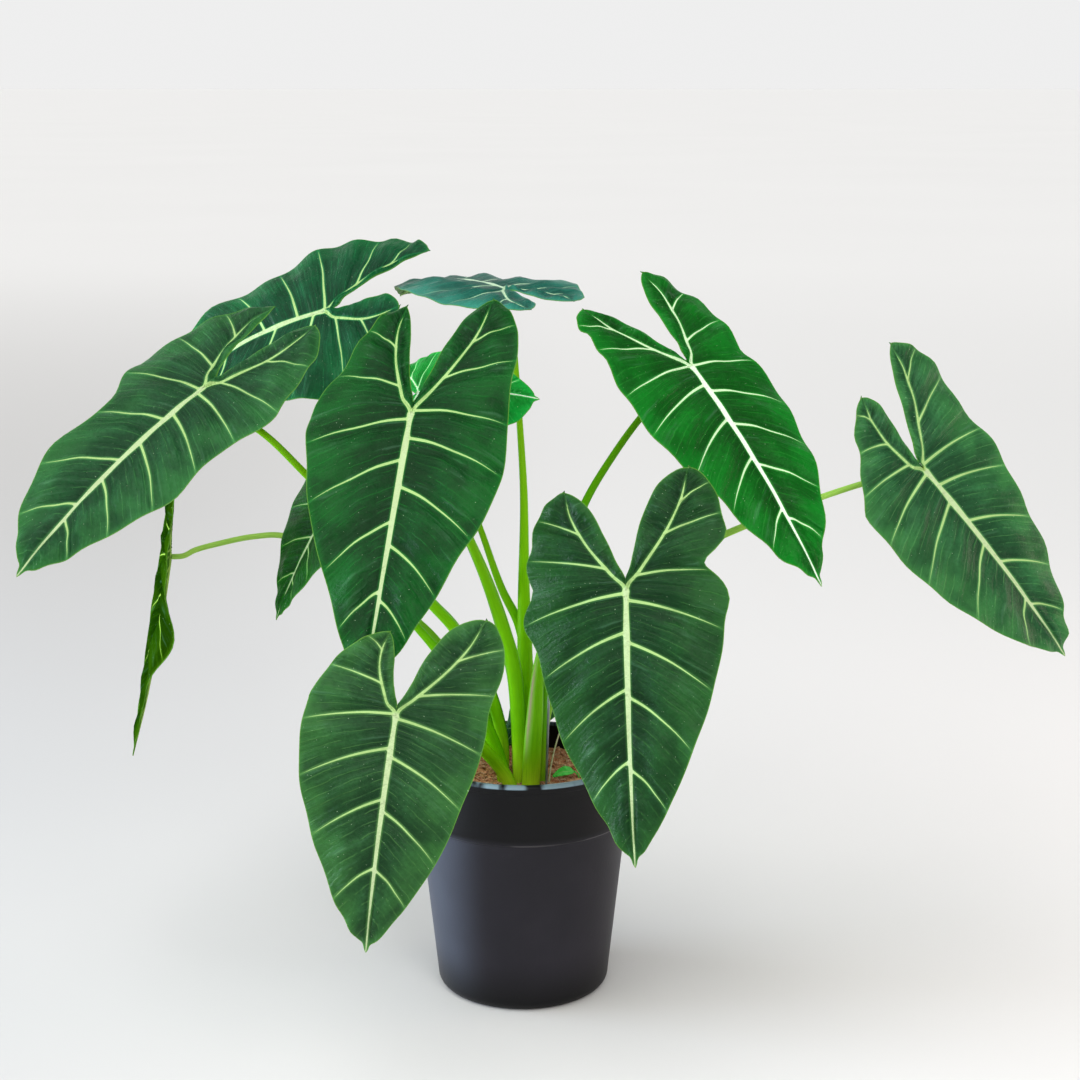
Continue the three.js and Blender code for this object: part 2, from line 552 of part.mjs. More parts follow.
for (const leaf of LEAVES) {
  const bright = BRIGHT_LEAVES.includes(leaf.name);
  const olive = OLIVE_STALKS.includes(leaf.name);
  addPiece(`blade_${leaf.name}`, bladeSolid(leaf), bright ? bladeBright : bladeGreen);
  const stalk = stalkSolid(leaf).subtract(toManifold(bladeSolid(leaf, SEAT_GAP)));
  addPiece(`stalk_${leaf.name}`, fromManifold(largestBody(stalk)), olive ? stalkOlive : stalkGreen);
}

addPiece('support_stake', stakeSolid(), stakeGrey);
addPiece('dry_twig', twigSolid(), strawPale);
addPiece('seedling', fromManifold(seedlingSolid()), seedlingGreen);

export default plant;
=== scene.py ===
"""Looks of the potted alocasia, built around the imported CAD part.

The formulas and the leaf table are those of the solids, in millimetres, and are turned into
metres where a mesh is made. Here the blades are fine: their rows follow the side veins, so that
the vein, the halo round it and the striations between two veins are drawn from the leaf's own
lines. Every material is made of nodes.
"""

import math
from types import SimpleNamespace

import bpy
import numpy as np
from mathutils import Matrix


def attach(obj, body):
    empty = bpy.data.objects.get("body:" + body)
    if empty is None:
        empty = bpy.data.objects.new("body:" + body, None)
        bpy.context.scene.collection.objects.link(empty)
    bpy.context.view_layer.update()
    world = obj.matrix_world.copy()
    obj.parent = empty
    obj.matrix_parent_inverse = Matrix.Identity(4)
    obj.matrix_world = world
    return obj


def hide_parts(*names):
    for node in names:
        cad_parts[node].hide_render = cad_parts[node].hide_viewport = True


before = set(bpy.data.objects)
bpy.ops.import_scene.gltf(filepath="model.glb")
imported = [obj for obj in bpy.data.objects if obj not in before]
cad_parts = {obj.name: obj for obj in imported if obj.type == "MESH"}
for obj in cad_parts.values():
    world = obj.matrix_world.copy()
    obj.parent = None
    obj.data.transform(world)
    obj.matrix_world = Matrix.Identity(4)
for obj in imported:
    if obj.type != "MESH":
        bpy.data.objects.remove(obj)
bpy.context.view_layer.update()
MM = 0.001
rng = np.random.default_rng(7)

# ---- camera: the photograph's view
scene = bpy.context.scene
camera = bpy.data.objects.new("photo_camera", bpy.data.cameras.new("photo_camera"))
camera.data.lens = 70
camera.data.sensor_width = 36
camera.data.clip_end = 2000
camera.location = (0.016, -1.880, 0.835)
camera.rotation_euler = (math.radians(77.8), 0, 0)
scene.collection.objects.link(camera)
scene.camera = camera

# ---- dimensions in millimetres, as in the solids
POT_H, RIM_R, COLLAR_R, COLLAR_H, BODY_R, BASE_R = 226, 101, 99.5, 57, 97.5, 79.5
FOOT_ROUND, WALL, LIP_H, LIP_IN, SOIL_Z, ROOT_Z = 11, 2, 8, 5, 200, 178
DRAIN_R, DRAIN_RING, DRAIN_COUNT = 5, 52, 6
LEDGE_Z, SOIL_R = POT_H - COLLAR_H, COLLAR_R - WALL - 0.5
WAVE = 0.016  # height of the margin's waves, per blade length
SHEATH = 0.47  # share of a stalk's length at which its sheath has closed
NECK = 12  # length of the bent neck under a blade
ROD_UP = (1.0, 0.2, 0.1)  # the direction of a thin rod's first corner
REACH = 6e5  # how far the floor reaches, so that its edge lies at the horizon
SEEN_GREY = (0.86, 0.86, 0.86)  # the background that the camera sees
POT_SEGMENTS, STALK_SIDES, SOIL_RINGS, SOIL_SECTORS, CHIPS = 160, 20, 44, 150, 1500

# the blade's outline in units of its length: station 0 is the tip, 5 the stalk, 9 the lobe's end
STALK_AT, LOBE_AT = 5, 9
SPINE = [(0, 1), (0, 0.83), (0, 0.63), (0, 0.36), (0, 0.155), (0, 0),
         (0.055, -0.075), (0.14, -0.205), (0.19, -0.32), (0.208, -0.43)]
MARGIN = [(0, 1), (0.062, 0.905), (0.14, 0.78), (0.25, 0.555), (0.328, 0.33), (0.365, 0.09),
          (0.355, -0.11), (0.337, -0.27), (0.283, -0.385), (0.208, -0.43)]
SINUS = [(0, -0.05), (0.028, -0.12), (0.068, -0.245), (0.122, -0.365), (0.208, -0.43)]
NOTCH = SINUS[0][1]
DRIP = [("R", 0.3, -0.3), ("L", 0.3, -0.3)]  # the narrow end of every tip
BUMP_SPAN, DRIP_SPAN, DENT_SPAN, FLARE_SPAN = 0.75, 0.2, 0.26, 0.6  # swellings, in stations
# per blade length; the quilting is 2.3 times the solids', so that the light shows it
QUILT, RIPPLE = 2.3 * 0.008, 0.0042

# at: where the stalk meets the blade. len: stalk to tip. head, pitch, roll: the tip's direction.
# droop: how far the midrib bends down. Pairs are the right and the left half: wide (width),
# lobe (length), splay (lobes apart), sinus (its width), fold (up from flat at the midrib), curl
# (on to the margin). wave: a share of WAVE. bumps and dents widen and flare raises the margin:
# (half, station, size). via: the stalk's way up. thick: its radius at foot and top. The values
# are the solids', apart from left_outer's wave and front_right's dents.
LEAVES = {
    "left_outer": dict(
      at=(-278, -66, 577), len=229, head=-140, pitch=-30, roll=16, droop=20, wide=(1.07, 1.02),
      lobe=(1.13, 1.14), splay=(-0.28, -0.25), sinus=(0.4, 0.87), fold=(5, 3), curl=(-15, -13),
      sickle=0.02, twist=28, wave=0.55, phase=0.3, thick=(7.4, 3),
      bumps=[("R", 1.7, 0.1), ("R", 4, -0.31), ("L", 2.6, -0.04), ("L", 4.4, -0.2),
      ("L", 7, -0.05)], via=[(-18, 7, 200), (-19, 5, 240), (-32, -2, 290), (-61, -16, 348),
      (-80, -30, 374), (-134, -64, 441), (-189, -78, 505), (-226, -72, 540)]),
    "left_upper": dict(
      at=(-190, 110, 626), len=233, head=166, pitch=-15, roll=41, droop=36, wide=(1.13, 1.03),
      lobe=(1.06, 0.79), splay=(-0.11, -0.38), sinus=(0.24, 1.07), fold=(6, -6),
      curl=(-20, -15), sickle=-0.09, twist=13, phase=1.1, thick=(7.4, 3),
      bumps=[("R", 2.4, 0.15), ("R", 4, -0.17), ("L", 4, -0.07), ("L", 5.5, 0.09)],
      via=[(-3, 20, 200), (-4, 20, 240), (-9, 24, 298), (-28, 40, 364), (-55, 60, 425),
      (-108, 96, 520), (-158, 124, 584)]),
    "centre_left": dict(
      at=(-92, -141, 566), len=248, head=-99, pitch=-45, roll=2, droop=23, wide=(0.92, 0.97),
      lobe=(1.08, 1.1), splay=(-0.29, 0.07), sinus=(0.57, 1), fold=(0, 14), curl=(-12, -11),
      sickle=0.04, twist=4, phase=2, thick=(7.4, 3), bumps=[("R", 2.4, -0.04), ("R", 5.5, 0.08),
      ("R", 7, -0.08), ("L", 4, 0.06), ("L", 5.5, -0.04)], via=[(-2, -12, 200), (-3, -13, 240),
      (-9, -15, 316), (-25, -20, 373), (-43, -35, 426), (-65, -55, 486), (-83, -85, 540)]),
    "young_middle": dict(
      at=(-92, -5, 565), len=127, head=-48, pitch=13, roll=-61, droop=43, wide=(1.59, 1.06),
      lobe=(1, 0.92), fold=(-8, -7), curl=(-14, -15), sickle=0.01, twist=-1, wave=0.6,
      phase=0.6, thick=(6.2, 2.4), bumps=[("R", 1, 0.24), ("L", 1, 0.08)], via=[(12, 20, 200),
      (11, 21, 240), (6, 26, 292), (-3, 26, 340), (-20, 12, 381), (-37, 2, 434),
      (-61, 2, 503)]),
    "front_left_low": dict(
      at=(-97, -300, 352), len=195, head=-118, pitch=-71, roll=22, droop=24, wide=(1.06, 1.01),
      lobe=(0.77, 1.01), splay=(-0.38, 0.23), sinus=(0.57, 1.36), fold=(4, 1), curl=(-13, -14),
      twist=1, phase=1.7, thick=(6.4, 2.9), bumps=[("R", 5.5, -0.04), ("L", 4, -0.04),
      ("L", 7, 0.06)], via=[(-9, -27, 190), (-14, -28, 208), (-33, -39, 238), (-64, -99, 285),
      (-85, -185, 321)]),
    "top": dict(
      at=(-18, 60, 653), len=214, head=124, pitch=6, roll=5, droop=26, wide=(0.97, 0.9),
      lobe=(0.85, 0.92), splay=(-0.23, -0.17), fold=(-1, 3), curl=(-6, -14), sickle=0.04,
      twist=-4, wave=0.25, phase=0.9, thick=(7.8, 2.6), bumps=[("R", 7, -0.1), ("L", 7, -0.15)],
      flare=[("R", 4, -0.05)], via=[(-2, 4, 200), (1, 4, 240), (2, 7, 293), (1, 17, 377),
      (1, 31, 464), (-3, 45, 533), (-6, 52, 574), (-10, 60, 614)]),
    "right_upper": dict(
      at=(151, -35, 591), len=228, head=-49, pitch=-40, roll=-17, droop=22, wide=(0.98, 0.89),
      lobe=(0.87, 1.17), splay=(0.25, -0.27), sinus=(1, 0.83), fold=(15, -1), curl=(-5, -14),
      sickle=-0.01, twist=-13, phase=2.6, thick=(7.4, 3), bumps=[("R", 4, 0.06),
      ("R", 5.5, 0.06), ("R", 7, -0.06), ("L", 4, -0.06), ("L", 5.5, -0.23)],
      via=[(14, -9, 200), (15, -10, 240), (23, -9, 336), (39, 2, 409), (57, 8, 461),
      (83, 8, 506), (109, 0, 544), (131, -8, 568)]),
    "front_right": dict(
      at=(87, -197, 428), len=231, head=-89, pitch=-70, roll=-17, droop=20, wide=(1.03, 0.97),
      lobe=(0.86, 1.01), splay=(0.05, 0.08), sinus=(0.96, 1.3), fold=(-2, 5), curl=(-13, -14),
      sickle=0.02, twist=-5, phase=0.2, thick=(8.6, 3), bumps=[("R", 4, -0.05),
      ("R", 5.5, 0.09), ("L", 7, 0.03)], via=[(7, -27, 190), (8, -27, 215), (11, -28, 265),
      (16, -32, 324), (30, -60, 378), (55, -110, 421)],
      dents=[("L", 5.92, -0.2), ("L", 5.25, 0.05), ("L", 6.5, 0.05), ("R", 5.5, -0.09),
           ("R", 4.9, 0.05), ("R", 6.2, 0.04)]),
    "right_outer": dict(
      at=(370, 15, 489), len=238, head=-12, pitch=-48, roll=-57, droop=31, wide=(0.94, 0.89),
      lobe=(0.88, 1.06), splay=(-0.51, 0.18), sinus=(0.88, 0.79), fold=(13, -1),
      curl=(-12, -15), sickle=-0.06, twist=-2, phase=1.3, thick=(7.2, 2.8),
      bumps=[("R", 2.4, 0.04), ("R", 7, -0.2), ("L", 4, -0.1), ("L", 7, 0.09)],
      via=[(16, 6, 200), (17, 7, 240), (36, 20, 309), (83, 30, 365), (138, 38, 401),
      (198, 42, 429), (277, 42, 460), (319, 42, 474), (345, 36, 482)]),
    "left_hanging": dict(
      at=(-338, 82, 396), len=206, head=175, pitch=-81, roll=16, droop=-7, wide=(0.86, 0.95),
      lobe=(0.9, 0.75), fold=(10, 11), curl=(-10, -14), twist=2, wave=0.2, phase=2.2,
      thick=(6.8, 2.6), flare=[("L", 4, -0.08)], via=[(-18, 23, 180), (-20, 23, 200),
      (-33, 20, 252), (-80, 28, 321), (-98, 35, 339), (-167, 88, 380), (-233, 122, 406),
      (-263, 120, 406), (-295, 112, 401), (-317, 100, 397)]),
    "left_inner": dict(
      at=(-163, 20, 481), len=152, head=-172, pitch=-57, roll=29, droop=18, wide=(1.03, 0.95),
      lobe=(1, 1), fold=(7, 11), curl=(-15, -13), sickle=0.04, twist=-1, wave=0.5, phase=0.5,
      thick=(6.8, 2.6), via=[(-17, -9, 190), (-20, -9, 215), (-38, -10, 262), (-76, -5, 321),
      (-118, 5, 371), (-148, 24, 425)]),
    "small_back": dict(
      at=(21, 64, 267), len=70, head=185, pitch=-52, roll=50, droop=10, wide=(1, 1),
      lobe=(0.9, 0.9), fold=(4, 4), curl=(-10, -10), phase=1.9, thick=(4, 2), via=[(5, 46, 200),
      (10, 60, 226), (19, 72, 250)]),
}
VEINS = {  # the stations at which the side veins leave the rib, right half and left half
    "left_outer": ((1.9, 2.75, 3.8, 4.95, 6.2, 7.35), (1.55, 2.4, 3.15, 4.0, 4.8, 5.75, 7.05)),
    "left_upper": ((1.8, 2.6, 3.4, 4.25, 5.1, 6.5, 7.6), (1.7, 2.6, 3.68, 4.7, 6.0, 7.1)),
    "centre_left": ((1.9, 2.8, 3.87, 4.87, 6.3, 7.5), (1.75, 2.5, 3.35, 4.35, 5.15, 6.45, 7.5)),
    "front_left_low": ((2.03, 3.1, 4.15, 5.1, 6.65, 8.1), (2.0, 2.9, 3.95, 4.93, 6.15, 7.4)),
    "right_upper": ((1.83, 2.7, 3.47, 4.4, 5.15, 6.5, 7.7),
                    (1.63, 2.58, 3.35, 4.2, 5.1, 6.3, 7.35)),
    "front_right": ((2.1, 3.05, 4.05, 4.94, 6.2, 7.35), (1.97, 2.93, 3.85, 4.75, 5.75, 6.95, 7.9)),
    "right_outer": ((1.9, 3.0, 4.05, 4.95, 6.0, 7.0, 8.1), (1.73, 2.62, 3.5, 4.5, 5.3, 6.6, 7.7)),
}
USUAL_VEINS = ((1.85, 2.8, 3.85, 4.95, 6.2, 7.4), (1.7, 2.6, 3.55, 4.6, 5.7, 7.0))


# ---- the blade's formulas
def catmull(points, t, beyond=None):
    """A smooth line through the points; t counts them from 0. It ends heading for beyond."""
    p = np.asarray(points, float)
    p = np.vstack([2 * p[0] - p[1], p, 2 * p[-1] - p[-2] if beyond is None else beyond])
    i = np.clip(np.floor(t).astype(int), 0, len(p) - 4)
    f = (t - i)[..., None]
    a, b, c, d = p[i], p[i + 1], p[i + 2], p[i + 3]
    return 0.5 * (2 * b + (c - a) * f + (2 * a - 5 * b + 4 * c - d) * f**2
                  + (3 * b - a - 3 * c + d) * f**3)


def swelling(listed, half, t, width):
    """The bell-shaped swellings of one half at a station."""
    return sum((size * np.exp(-(((t - at) / width) ** 2))
                for where, at, size in listed or () if where == "RL"[half]), 0 * t)


def flat_point(leaf, half, inner, t, u):
    """A point of the flat blade: station t, and u from the rib (0) to a margin (1)."""
    rib = catmull(SPINE, t)
    if inner:
        edge = catmull(SINUS, t - STALK_AT, MARGIN[-2])
        narrow = (leaf.get("sinus", (1, 1))[half] - 1) * np.minimum(1, (t - STALK_AT) / 1.5)
        edge = rib + (edge - rib) * (1 + narrow)[..., None]
    else:
        edge = catmull(MARGIN, t, SINUS[-2])
        shape = (1 + swelling(leaf.get("bumps"), half, t, BUMP_SPAN)
                 + swelling(DRIP, half, t, DRIP_SPAN)
                 + swelling(leaf.get("dents"), half, t, DENT_SPAN))
        edge = rib + (edge - rib) * shape[..., None]
    sag = 0 if inner else 0.1 * (edge[..., 1] - rib[..., 1]) + 0.02
    x = rib[..., 0] + (edge[..., 0] - rib[..., 0]) * u
    s = rib[..., 1] + (edge[..., 1] - rib[..., 1]) * u - 2 * u * (1 - u) * sag
    side = x * leaf["wide"][half] + leaf.get("splay", (0, 0))[half] * np.maximum(NOTCH - s, 0)
    return (1 - 2 * half) * side, np.where(s < 0, s * leaf["lobe"][half], s)


def flat_line(leaf, half, inner, t, u):
    """A row of flat points, in millimetres."""
    return np.stack(flat_point(leaf, half, inner, t, u), -1) * leaf["len"]


def leaf_axes(leaf):
    """The leaf's directions: towards the tip, across to its right half, and out of its face."""
    h, p, r = (math.radians(leaf[k]) for k in ("head", "pitch", "roll"))
    s = np.array([math.cos(h) * math.cos(p), math.sin(h) * math.cos(p), math.sin(p)])
    x0 = np.array([math.sin(h), -math.cos(h), 0.0])
    n0 = np.cross(x0, s)
    x = x0 * math.cos(r) + n0 * math.sin(r)
    n = n0 * math.cos(r) - x0 * math.sin(r)
    return s, x, n


def bend(leaf, x, s, lift):
    """Lays points of the flat blade on the drooping, folded leaf. lift is in millimetres."""
    size = leaf["len"]
    axis_s, axis_x, axis_n = leaf_axes(leaf)
    left = (x < 0).astype(int)
    curl = np.radians(np.array(leaf["curl"]))[left] / (0.36 * size)
    fold = np.radians(np.array(leaf["fold"]))[left]
    droop = -math.radians(leaf["droop"])
    ahead = np.maximum(s, 0)
    along = np.where(s < 0, s * size, size * np.sin(droop * ahead) / droop)
    up = np.where(s < 0, 0, size * (1 - np.cos(droop * ahead)) / droop)
    n = axis_n * np.cos(droop * ahead)[..., None] - axis_s * np.sin(droop * ahead)[..., None]
    turn = math.radians(leaf.get("twist", 0)) * ahead
    a = np.abs(x) * size
    out = (np.sin(fold + curl * a) - np.sin(fold)) / curl * np.sign(x)
    rise = -(np.cos(fold + curl * a) - np.cos(fold)) / curl
    side = out * np.cos(turn) - rise * np.sin(turn) + leaf.get("sickle", 0) * ahead**2 * size
    high = out * np.sin(turn) + rise * np.cos(turn) + lift
    return (np.array(leaf["at"], float) + along[..., None] * axis_s + up[..., None] * axis_n
            + side[..., None] * axis_x + high[..., None] * n)


def margin_wave(leaf, half, inner, t, u):
    """The waves and flares along the margin, per blade length."""
    ends = np.minimum(np.minimum(1, t), LOBE_AT - t)
    roll = np.sin(1.9 * t + leaf["phase"] * 3 + 1.7 * half) + 0.7 * np.cos(2 * np.pi * t)
    wave = (0.3 if inner else 1) * leaf.get("wave", 1) * WAVE * roll * ends * u**3
    return wave + swelling(leaf.get("flare"), half, t, FLARE_SPAN) * u**2


def near_lines(points, lines):
    """For each point the distance to each line (a row of points) and how far along it lies."""
    far, where = [], []
    row = np.arange(len(points))
    for line in lines:
        a, b = line[:-1], line[1:]
        ab = b - a
        ap = points[:, None] - a[None]
        f = np.clip((ap * ab).sum(-1) / np.maximum((ab**2).sum(-1), 1e-9), 0, 1)
        d = np.linalg.norm(ap - f[..., None] * ab, axis=-1)
        k = d.argmin(1)
        far.append(d[row, k])
        where.append((k + f[row, k]) / len(a))
    return np.array(far), np.array(where)


# ---- meshes
def make_object(name, points, faces, mat, attributes=(), sharp=None, body="root"):
    """A mesh object in metres from points in millimetres, riding on the root body."""
    mesh = bpy.data.meshes.new(name)
    mesh.from_pydata((np.asarray(points) * MM).tolist(), [], faces)
    for key, values in dict(attributes).items():
        values = np.asarray(values, float)
        kind = "FLOAT" if values.ndim == 1 else "FLOAT_VECTOR"
        layer = mesh.attributes.new(key, kind, "POINT")
        layer.data.foreach_set("value" if values.ndim == 1 else "vector", values.ravel())
    mesh.polygons.foreach_set("use_smooth", [True] * len(mesh.polygons))
    if sharp:
        mesh.set_sharp_from_angle(angle=math.radians(sharp))
    mesh.materials.append(mat)
    mesh.update()
    obj = bpy.data.objects.new(name, mesh)
    scene.collection.objects.link(obj)
    if body:
        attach(obj, body)
    return obj


# where a blade half's columns lie, from the rib to the margin, and its rows between two veins
OUTER_COLUMNS = np.array([0, .015, .03, .05, .075, .11, .16, .22, .29, .37, .46, .55, .64, .73,
                          .81, .88, .93, .97, 1])
INNER_COLUMNS = np.array([0, .06, .13, .22, .35, .5, .66, .82, .93, 1])
BETWEEN = np.array([0, .03, .07, .13, .22, .34, .5, .66, .78, .87, .93, .97])
WIDE_GAP = 1.35  # stations between two veins from which more rows are needed
MORE_BETWEEN = np.unique(np.r_[BETWEEN, .1, .18, .28, .42, .58, .72])
USUAL_LEN = 230  # the blade length for which the widths of the veins are given
SOFT = 0.3  # how gently two veins run into each other, in millimetres


def grid_quads(i):
    """The quads of a sheet from its points' numbers, row by row."""
    return np.stack([i[:-1, :-1], i[1:, :-1], i[1:, 1:], i[:-1, 1:]], -1).reshape(-1, 4)


def band(i):
    """The quads between closed rings from their points' numbers, ring by ring."""
    j = np.roll(i, -1, 1)
    return np.stack([i[:-1], j[:-1], j[1:], i[1:]], -1).reshape(-1, 4).tolist()


def vein_rows(veins):
    """Stations of the mesh rows, and phi, which is a whole number along each side vein."""
    knots = np.array([0, *veins, LOBE_AT], float)
    rows = []
    for k, (a, b) in enumerate(zip(knots[:-1], knots[1:])):
        steps = MORE_BETWEEN if b - a > WIDE_GAP else BETWEEN
        rows += [(a + (b - a) * f, k + f) for f in steps]
    rows.append((LOBE_AT, len(knots) - 1.0))
    t, phi = np.array(rows).T
    i = np.searchsorted(t, STALK_AT)
    if t[i] != STALK_AT:
        phi = np.insert(phi, i, np.interp(STALK_AT, t, phi))
        t = np.insert(t, i, STALK_AT)
    return t, phi


def vein_field(leaf, half, veins, flat):
    """How far inside a vein each flat point lies, in millimetres; negative is outside."""
    scale = leaf["len"] / USUAL_LEN
    u = np.linspace(0, 1, 22)
    lines = [flat_line(leaf, half, False, np.full(22, v), u) for v in veins]
    lines.append(flat_line(leaf, half, False, np.linspace(0, STALK_AT, 60), np.zeros(60)))
    back = np.linspace(STALK_AT, LOBE_AT - 0.02, 40)
    lines.append(flat_line(leaf, half, False, back, np.zeros(40)))
    far, along = near_lines(flat, lines)
    field = []
    for k, v in enumerate(veins):
        # the side veins near the stalk are the widest; all end just short of the margin
        start = 1.3 * (0.62 + 0.38 * min(1, v / 4)) if v < 5.4 else 1.1 - 0.13 * (v - 5.4)
        width = start * np.clip(1 - along[k] / 0.95, 0, 1) ** 0.7
        width -= 3 * np.clip(along[k] - 0.93, 0, 1)
        field.append(width * scale - far[k])
    # the midrib, and the rib of the lobe
    s = catmull(SPINE, along[-2] * STALK_AT)[..., 1]
    field.append(scale * (0.5 + 2.65 * np.clip(1 - s, 0, 1) ** 0.85) - far[-2])
    t = along[-1] * (LOBE_AT - STALK_AT)
    width = 1.6 - 0.25 * t - 2.5 * np.clip(t - 3.4, 0, 1)
    field.append(scale * width - far[-1])
    return SOFT * np.log(np.exp(np.array(field) / SOFT).sum(0) + 1e-30), far[-2]


def half_blade(leaf, half, veins):
    """One half of a blade as a sheet: points, faces and what each point carries."""
    size = leaf["len"]
    rows, phi = vein_rows(veins)
    back = rows >= STALK_AT
    sheets, faces, first = [], [], 0
    for inner, t, p, u in ((False, rows, phi, OUTER_COLUMNS),
                           (True, rows[back], phi[back], INNER_COLUMNS)):
        t, u = np.meshgrid(t, u, indexing="ij")
        p = np.broadcast_to(p[:, None], t.shape)
        x, s = flat_point(leaf, half, inner, t, u)
        ends = np.minimum(np.minimum(1, t), LOBE_AT - t)
        quilt = QUILT * (0.5 - 0.5 * np.cos(2 * np.pi * p)) * np.sin(np.pi * u) * ends
        ripple = RIPPLE * np.sin(11.0 * u + 4.3 * p + 2 * np.sin(1.7 * p))
        ripple = ripple * np.sin(np.pi * u) * ends
        lift = size * (quilt + ripple + margin_wave(leaf, half, inner, t, u))
        # the weave: which vein it is past, and how far out, negative in the sinus
        v = u * (-1 if inner else 1)
        sheets.append((bend(leaf, x, s, lift), np.stack([x, s], -1) * size,
                       np.stack([p + 20 * half, v, v * 0], -1)))
        quads = grid_quads(first + np.arange(u.size).reshape(u.shape))
        faces.append(quads if half == inner else quads[:, ::-1])
        first += u.size
    points, flat, weave = (np.concatenate([a.reshape(-1, a.shape[-1]) for a in group])
                           for group in zip(*sheets))
    faces = np.concatenate(faces)
    # one vertex where rows or sheets meet
    _, keep, same = np.unique(np.round(points, 4), axis=0, return_index=True, return_inverse=True)
    same = same.ravel()
    points, flat, weave = points[keep], flat[keep], weave[keep]
    cleaned = []
    for f in same[faces].tolist():
        g = [v for k, v in enumerate(f) if v != f[k - 1]]
        if len(set(g)) == len(g) >= 3:
            cleaned.append(g)
    rim = [flat_line(leaf, half, inner, np.linspace(start, LOBE_AT, count), np.ones(count))
           for inner, start, count in ((False, 0, 90), (True, STALK_AT, 40))]
    edge = near_lines(flat, rim)[0].min(0)
    vein, rib = vein_field(leaf, half, veins, flat)
    return points, cleaned, flat, weave, edge, vein, rib


def newell(points, faces):
    """Each point's normal, from the triangles and quads round it."""
    normals = np.zeros_like(points)
    for f in faces:
        p = points[f]
        n = np.cross(p[1] - p[0], p[2] - p[0])
        if len(f) == 4:
            n = n + np.cross(p[2] - p[0], p[3] - p[0])
        normals[f] += n
    return normals / np.maximum(np.linalg.norm(normals, axis=1), 1e-12)[:, None]


def blade(name, leaf, mat, tone):
    """A blade of two closed halves that meet along the midrib."""
    points, faces = [], []
    layers = {k: [] for k in ("vein", "edge", "rib", "under", "weave", "flat", "tone")}
    first = 0
    for half, veins in enumerate(VEINS.get(name, USUAL_VEINS)):
        p, f, flat, weave, edge, vein, rib = half_blade(leaf, half, veins)
        n = newell(p, f)
        # half the thickness, which grows inwards, the grooves beside the veins and the ribs
        thick = 0.3 + 0.2 * np.clip(edge / 12, 0, 1)
        groove = np.exp(-(((vein + 1.1) / 1.1) ** 2))
        up = thick + 0.13 * np.clip(vein, 0, 4) - 0.28 * groove * np.clip(edge / 8, 0, 1)
        down = thick + 0.5 * np.clip(vein + 0.3, 0, 4)
        count = len(p)
        points += [p + n * up[:, None], p - n * down[:, None]]
        open_edges = {}
        for g in f:
            faces.append([v + first for v in g])
            faces.append([v + first + count for v in reversed(g)])
            for a, b in zip(g, g[1:] + g[:1]):
                if open_edges.pop((b, a), None) is None:
                    open_edges[(a, b)] = True
        faces += [[b + first, a + first, a + first + count, b + first + count]
                  for a, b in open_edges]
        flat = np.c_[flat, np.full(count, leaf["phase"] * 100)] / 10
        tones = np.tile(tone, (count, 1))
        for under in (0.0, 1.0):
            values = vein, edge, rib, np.full(count, under), weave, flat, tones
            for key, value in zip(layers, values):
                layers[key].append(value)
        first += 2 * count
    layers = {k: np.concatenate(v) for k, v in layers.items()}
    return make_object(f"leaf_{name}", np.concatenate(points), faces, mat, layers, sharp=50)


def way(points, gap):
    """A centripetal Catmull-Rom line through the points, in even steps."""
    p = np.asarray(points, float)
    p = np.vstack([2 * p[0] - p[1], p, 2 * p[-1] - p[-2]])
    out = []
    for a, b, c, d in zip(p, p[1:], p[2:], p[3:]):
        k0, k1, k2 = (max(np.linalg.norm(v), 1e-6) ** 0.5 for v in (b - a, c - b, d - c))
        m1 = ((b - a) / k0 - (c - a) / (k0 + k1) + (c - b) / k1) * k1
        m2 = ((c - b) / k1 - (d - b) / (k1 + k2) + (d - c) / k2) * k1
        f = np.linspace(0, 1, 40, endpoint=False)[:, None]
        out.append(b + m1 * f + (3 * (c - b) - 2 * m1 - m2) * f**2
                   + (2 * (b - c) + m1 + m2) * f**3)
    line = np.vstack([*out, p[-2:-1]])
    length = np.r_[0, np.cumsum(np.linalg.norm(np.diff(line, axis=0), axis=1))]
    at = np.linspace(0, length[-1], max(3, round(length[-1] / gap) + 1))
    return np.stack([np.interp(at, length, line[:, k]) for k in range(3)], 1), at


def tube(line, section, start):
    """Rings along a line. section(i) gives the ring's (side, up) offsets; start is its first up."""
    tangent = np.gradient(line, axis=0)
    tangent /= np.linalg.norm(tangent, axis=1)[:, None]
    up = np.asarray(start, float)
    rings = []
    for i, (p, t) in enumerate(zip(line, tangent)):
        up = up - t * (up @ t)
        up /= np.linalg.norm(up)
        ring = section(i)
        rings.append(p + ring[:, :1] * np.cross(t, up) + ring[:, 1:] * up)
    i = np.arange(len(rings) * len(rings[0])).reshape(len(rings), -1)
    return np.concatenate(rings), band(i) + [i[0][::-1].tolist(), i[-1].tolist()]


# ---- materials
now = SimpleNamespace(tree=None, shader=None)  # the material that the calls below build


def material(name, roughness, gloss=0.5, metallic=0.0):
    """Begins a Principled material."""
    mat = bpy.data.materials.new(name)
    mat.use_nodes = True
    now.tree = mat.node_tree
    now.shader = now.tree.nodes["Principled BSDF"]
    now.shader.inputs["Roughness"].default_value = roughness
    now.shader.inputs["Specular IOR Level"].default_value = gloss
    now.shader.inputs["Metallic"].default_value = metallic
    return mat


def put(kind, inputs, out=0, **settings):
    """Adds a node and returns an output. Inputs are numbers, colours or other outputs."""
    n = now.tree.nodes.new("ShaderNode" + kind)
    for key, value in settings.items():
        setattr(n, key, value)
    for key, value in inputs.items():
        if isinstance(value, bpy.types.NodeSocket):
            now.tree.links.new(value, n.inputs[key])
        else:
            n.inputs[key].default_value = value
    return n.outputs[out]


def carried(name, vector=False):
    """What each point of the mesh carries under this name."""
    return put("Attribute", {}, "Vector" if vector else "Fac", attribute_name=name)


def place():
    """The point's place in the part's frame, in metres."""
    return put("TexCoord", {}, "Object")


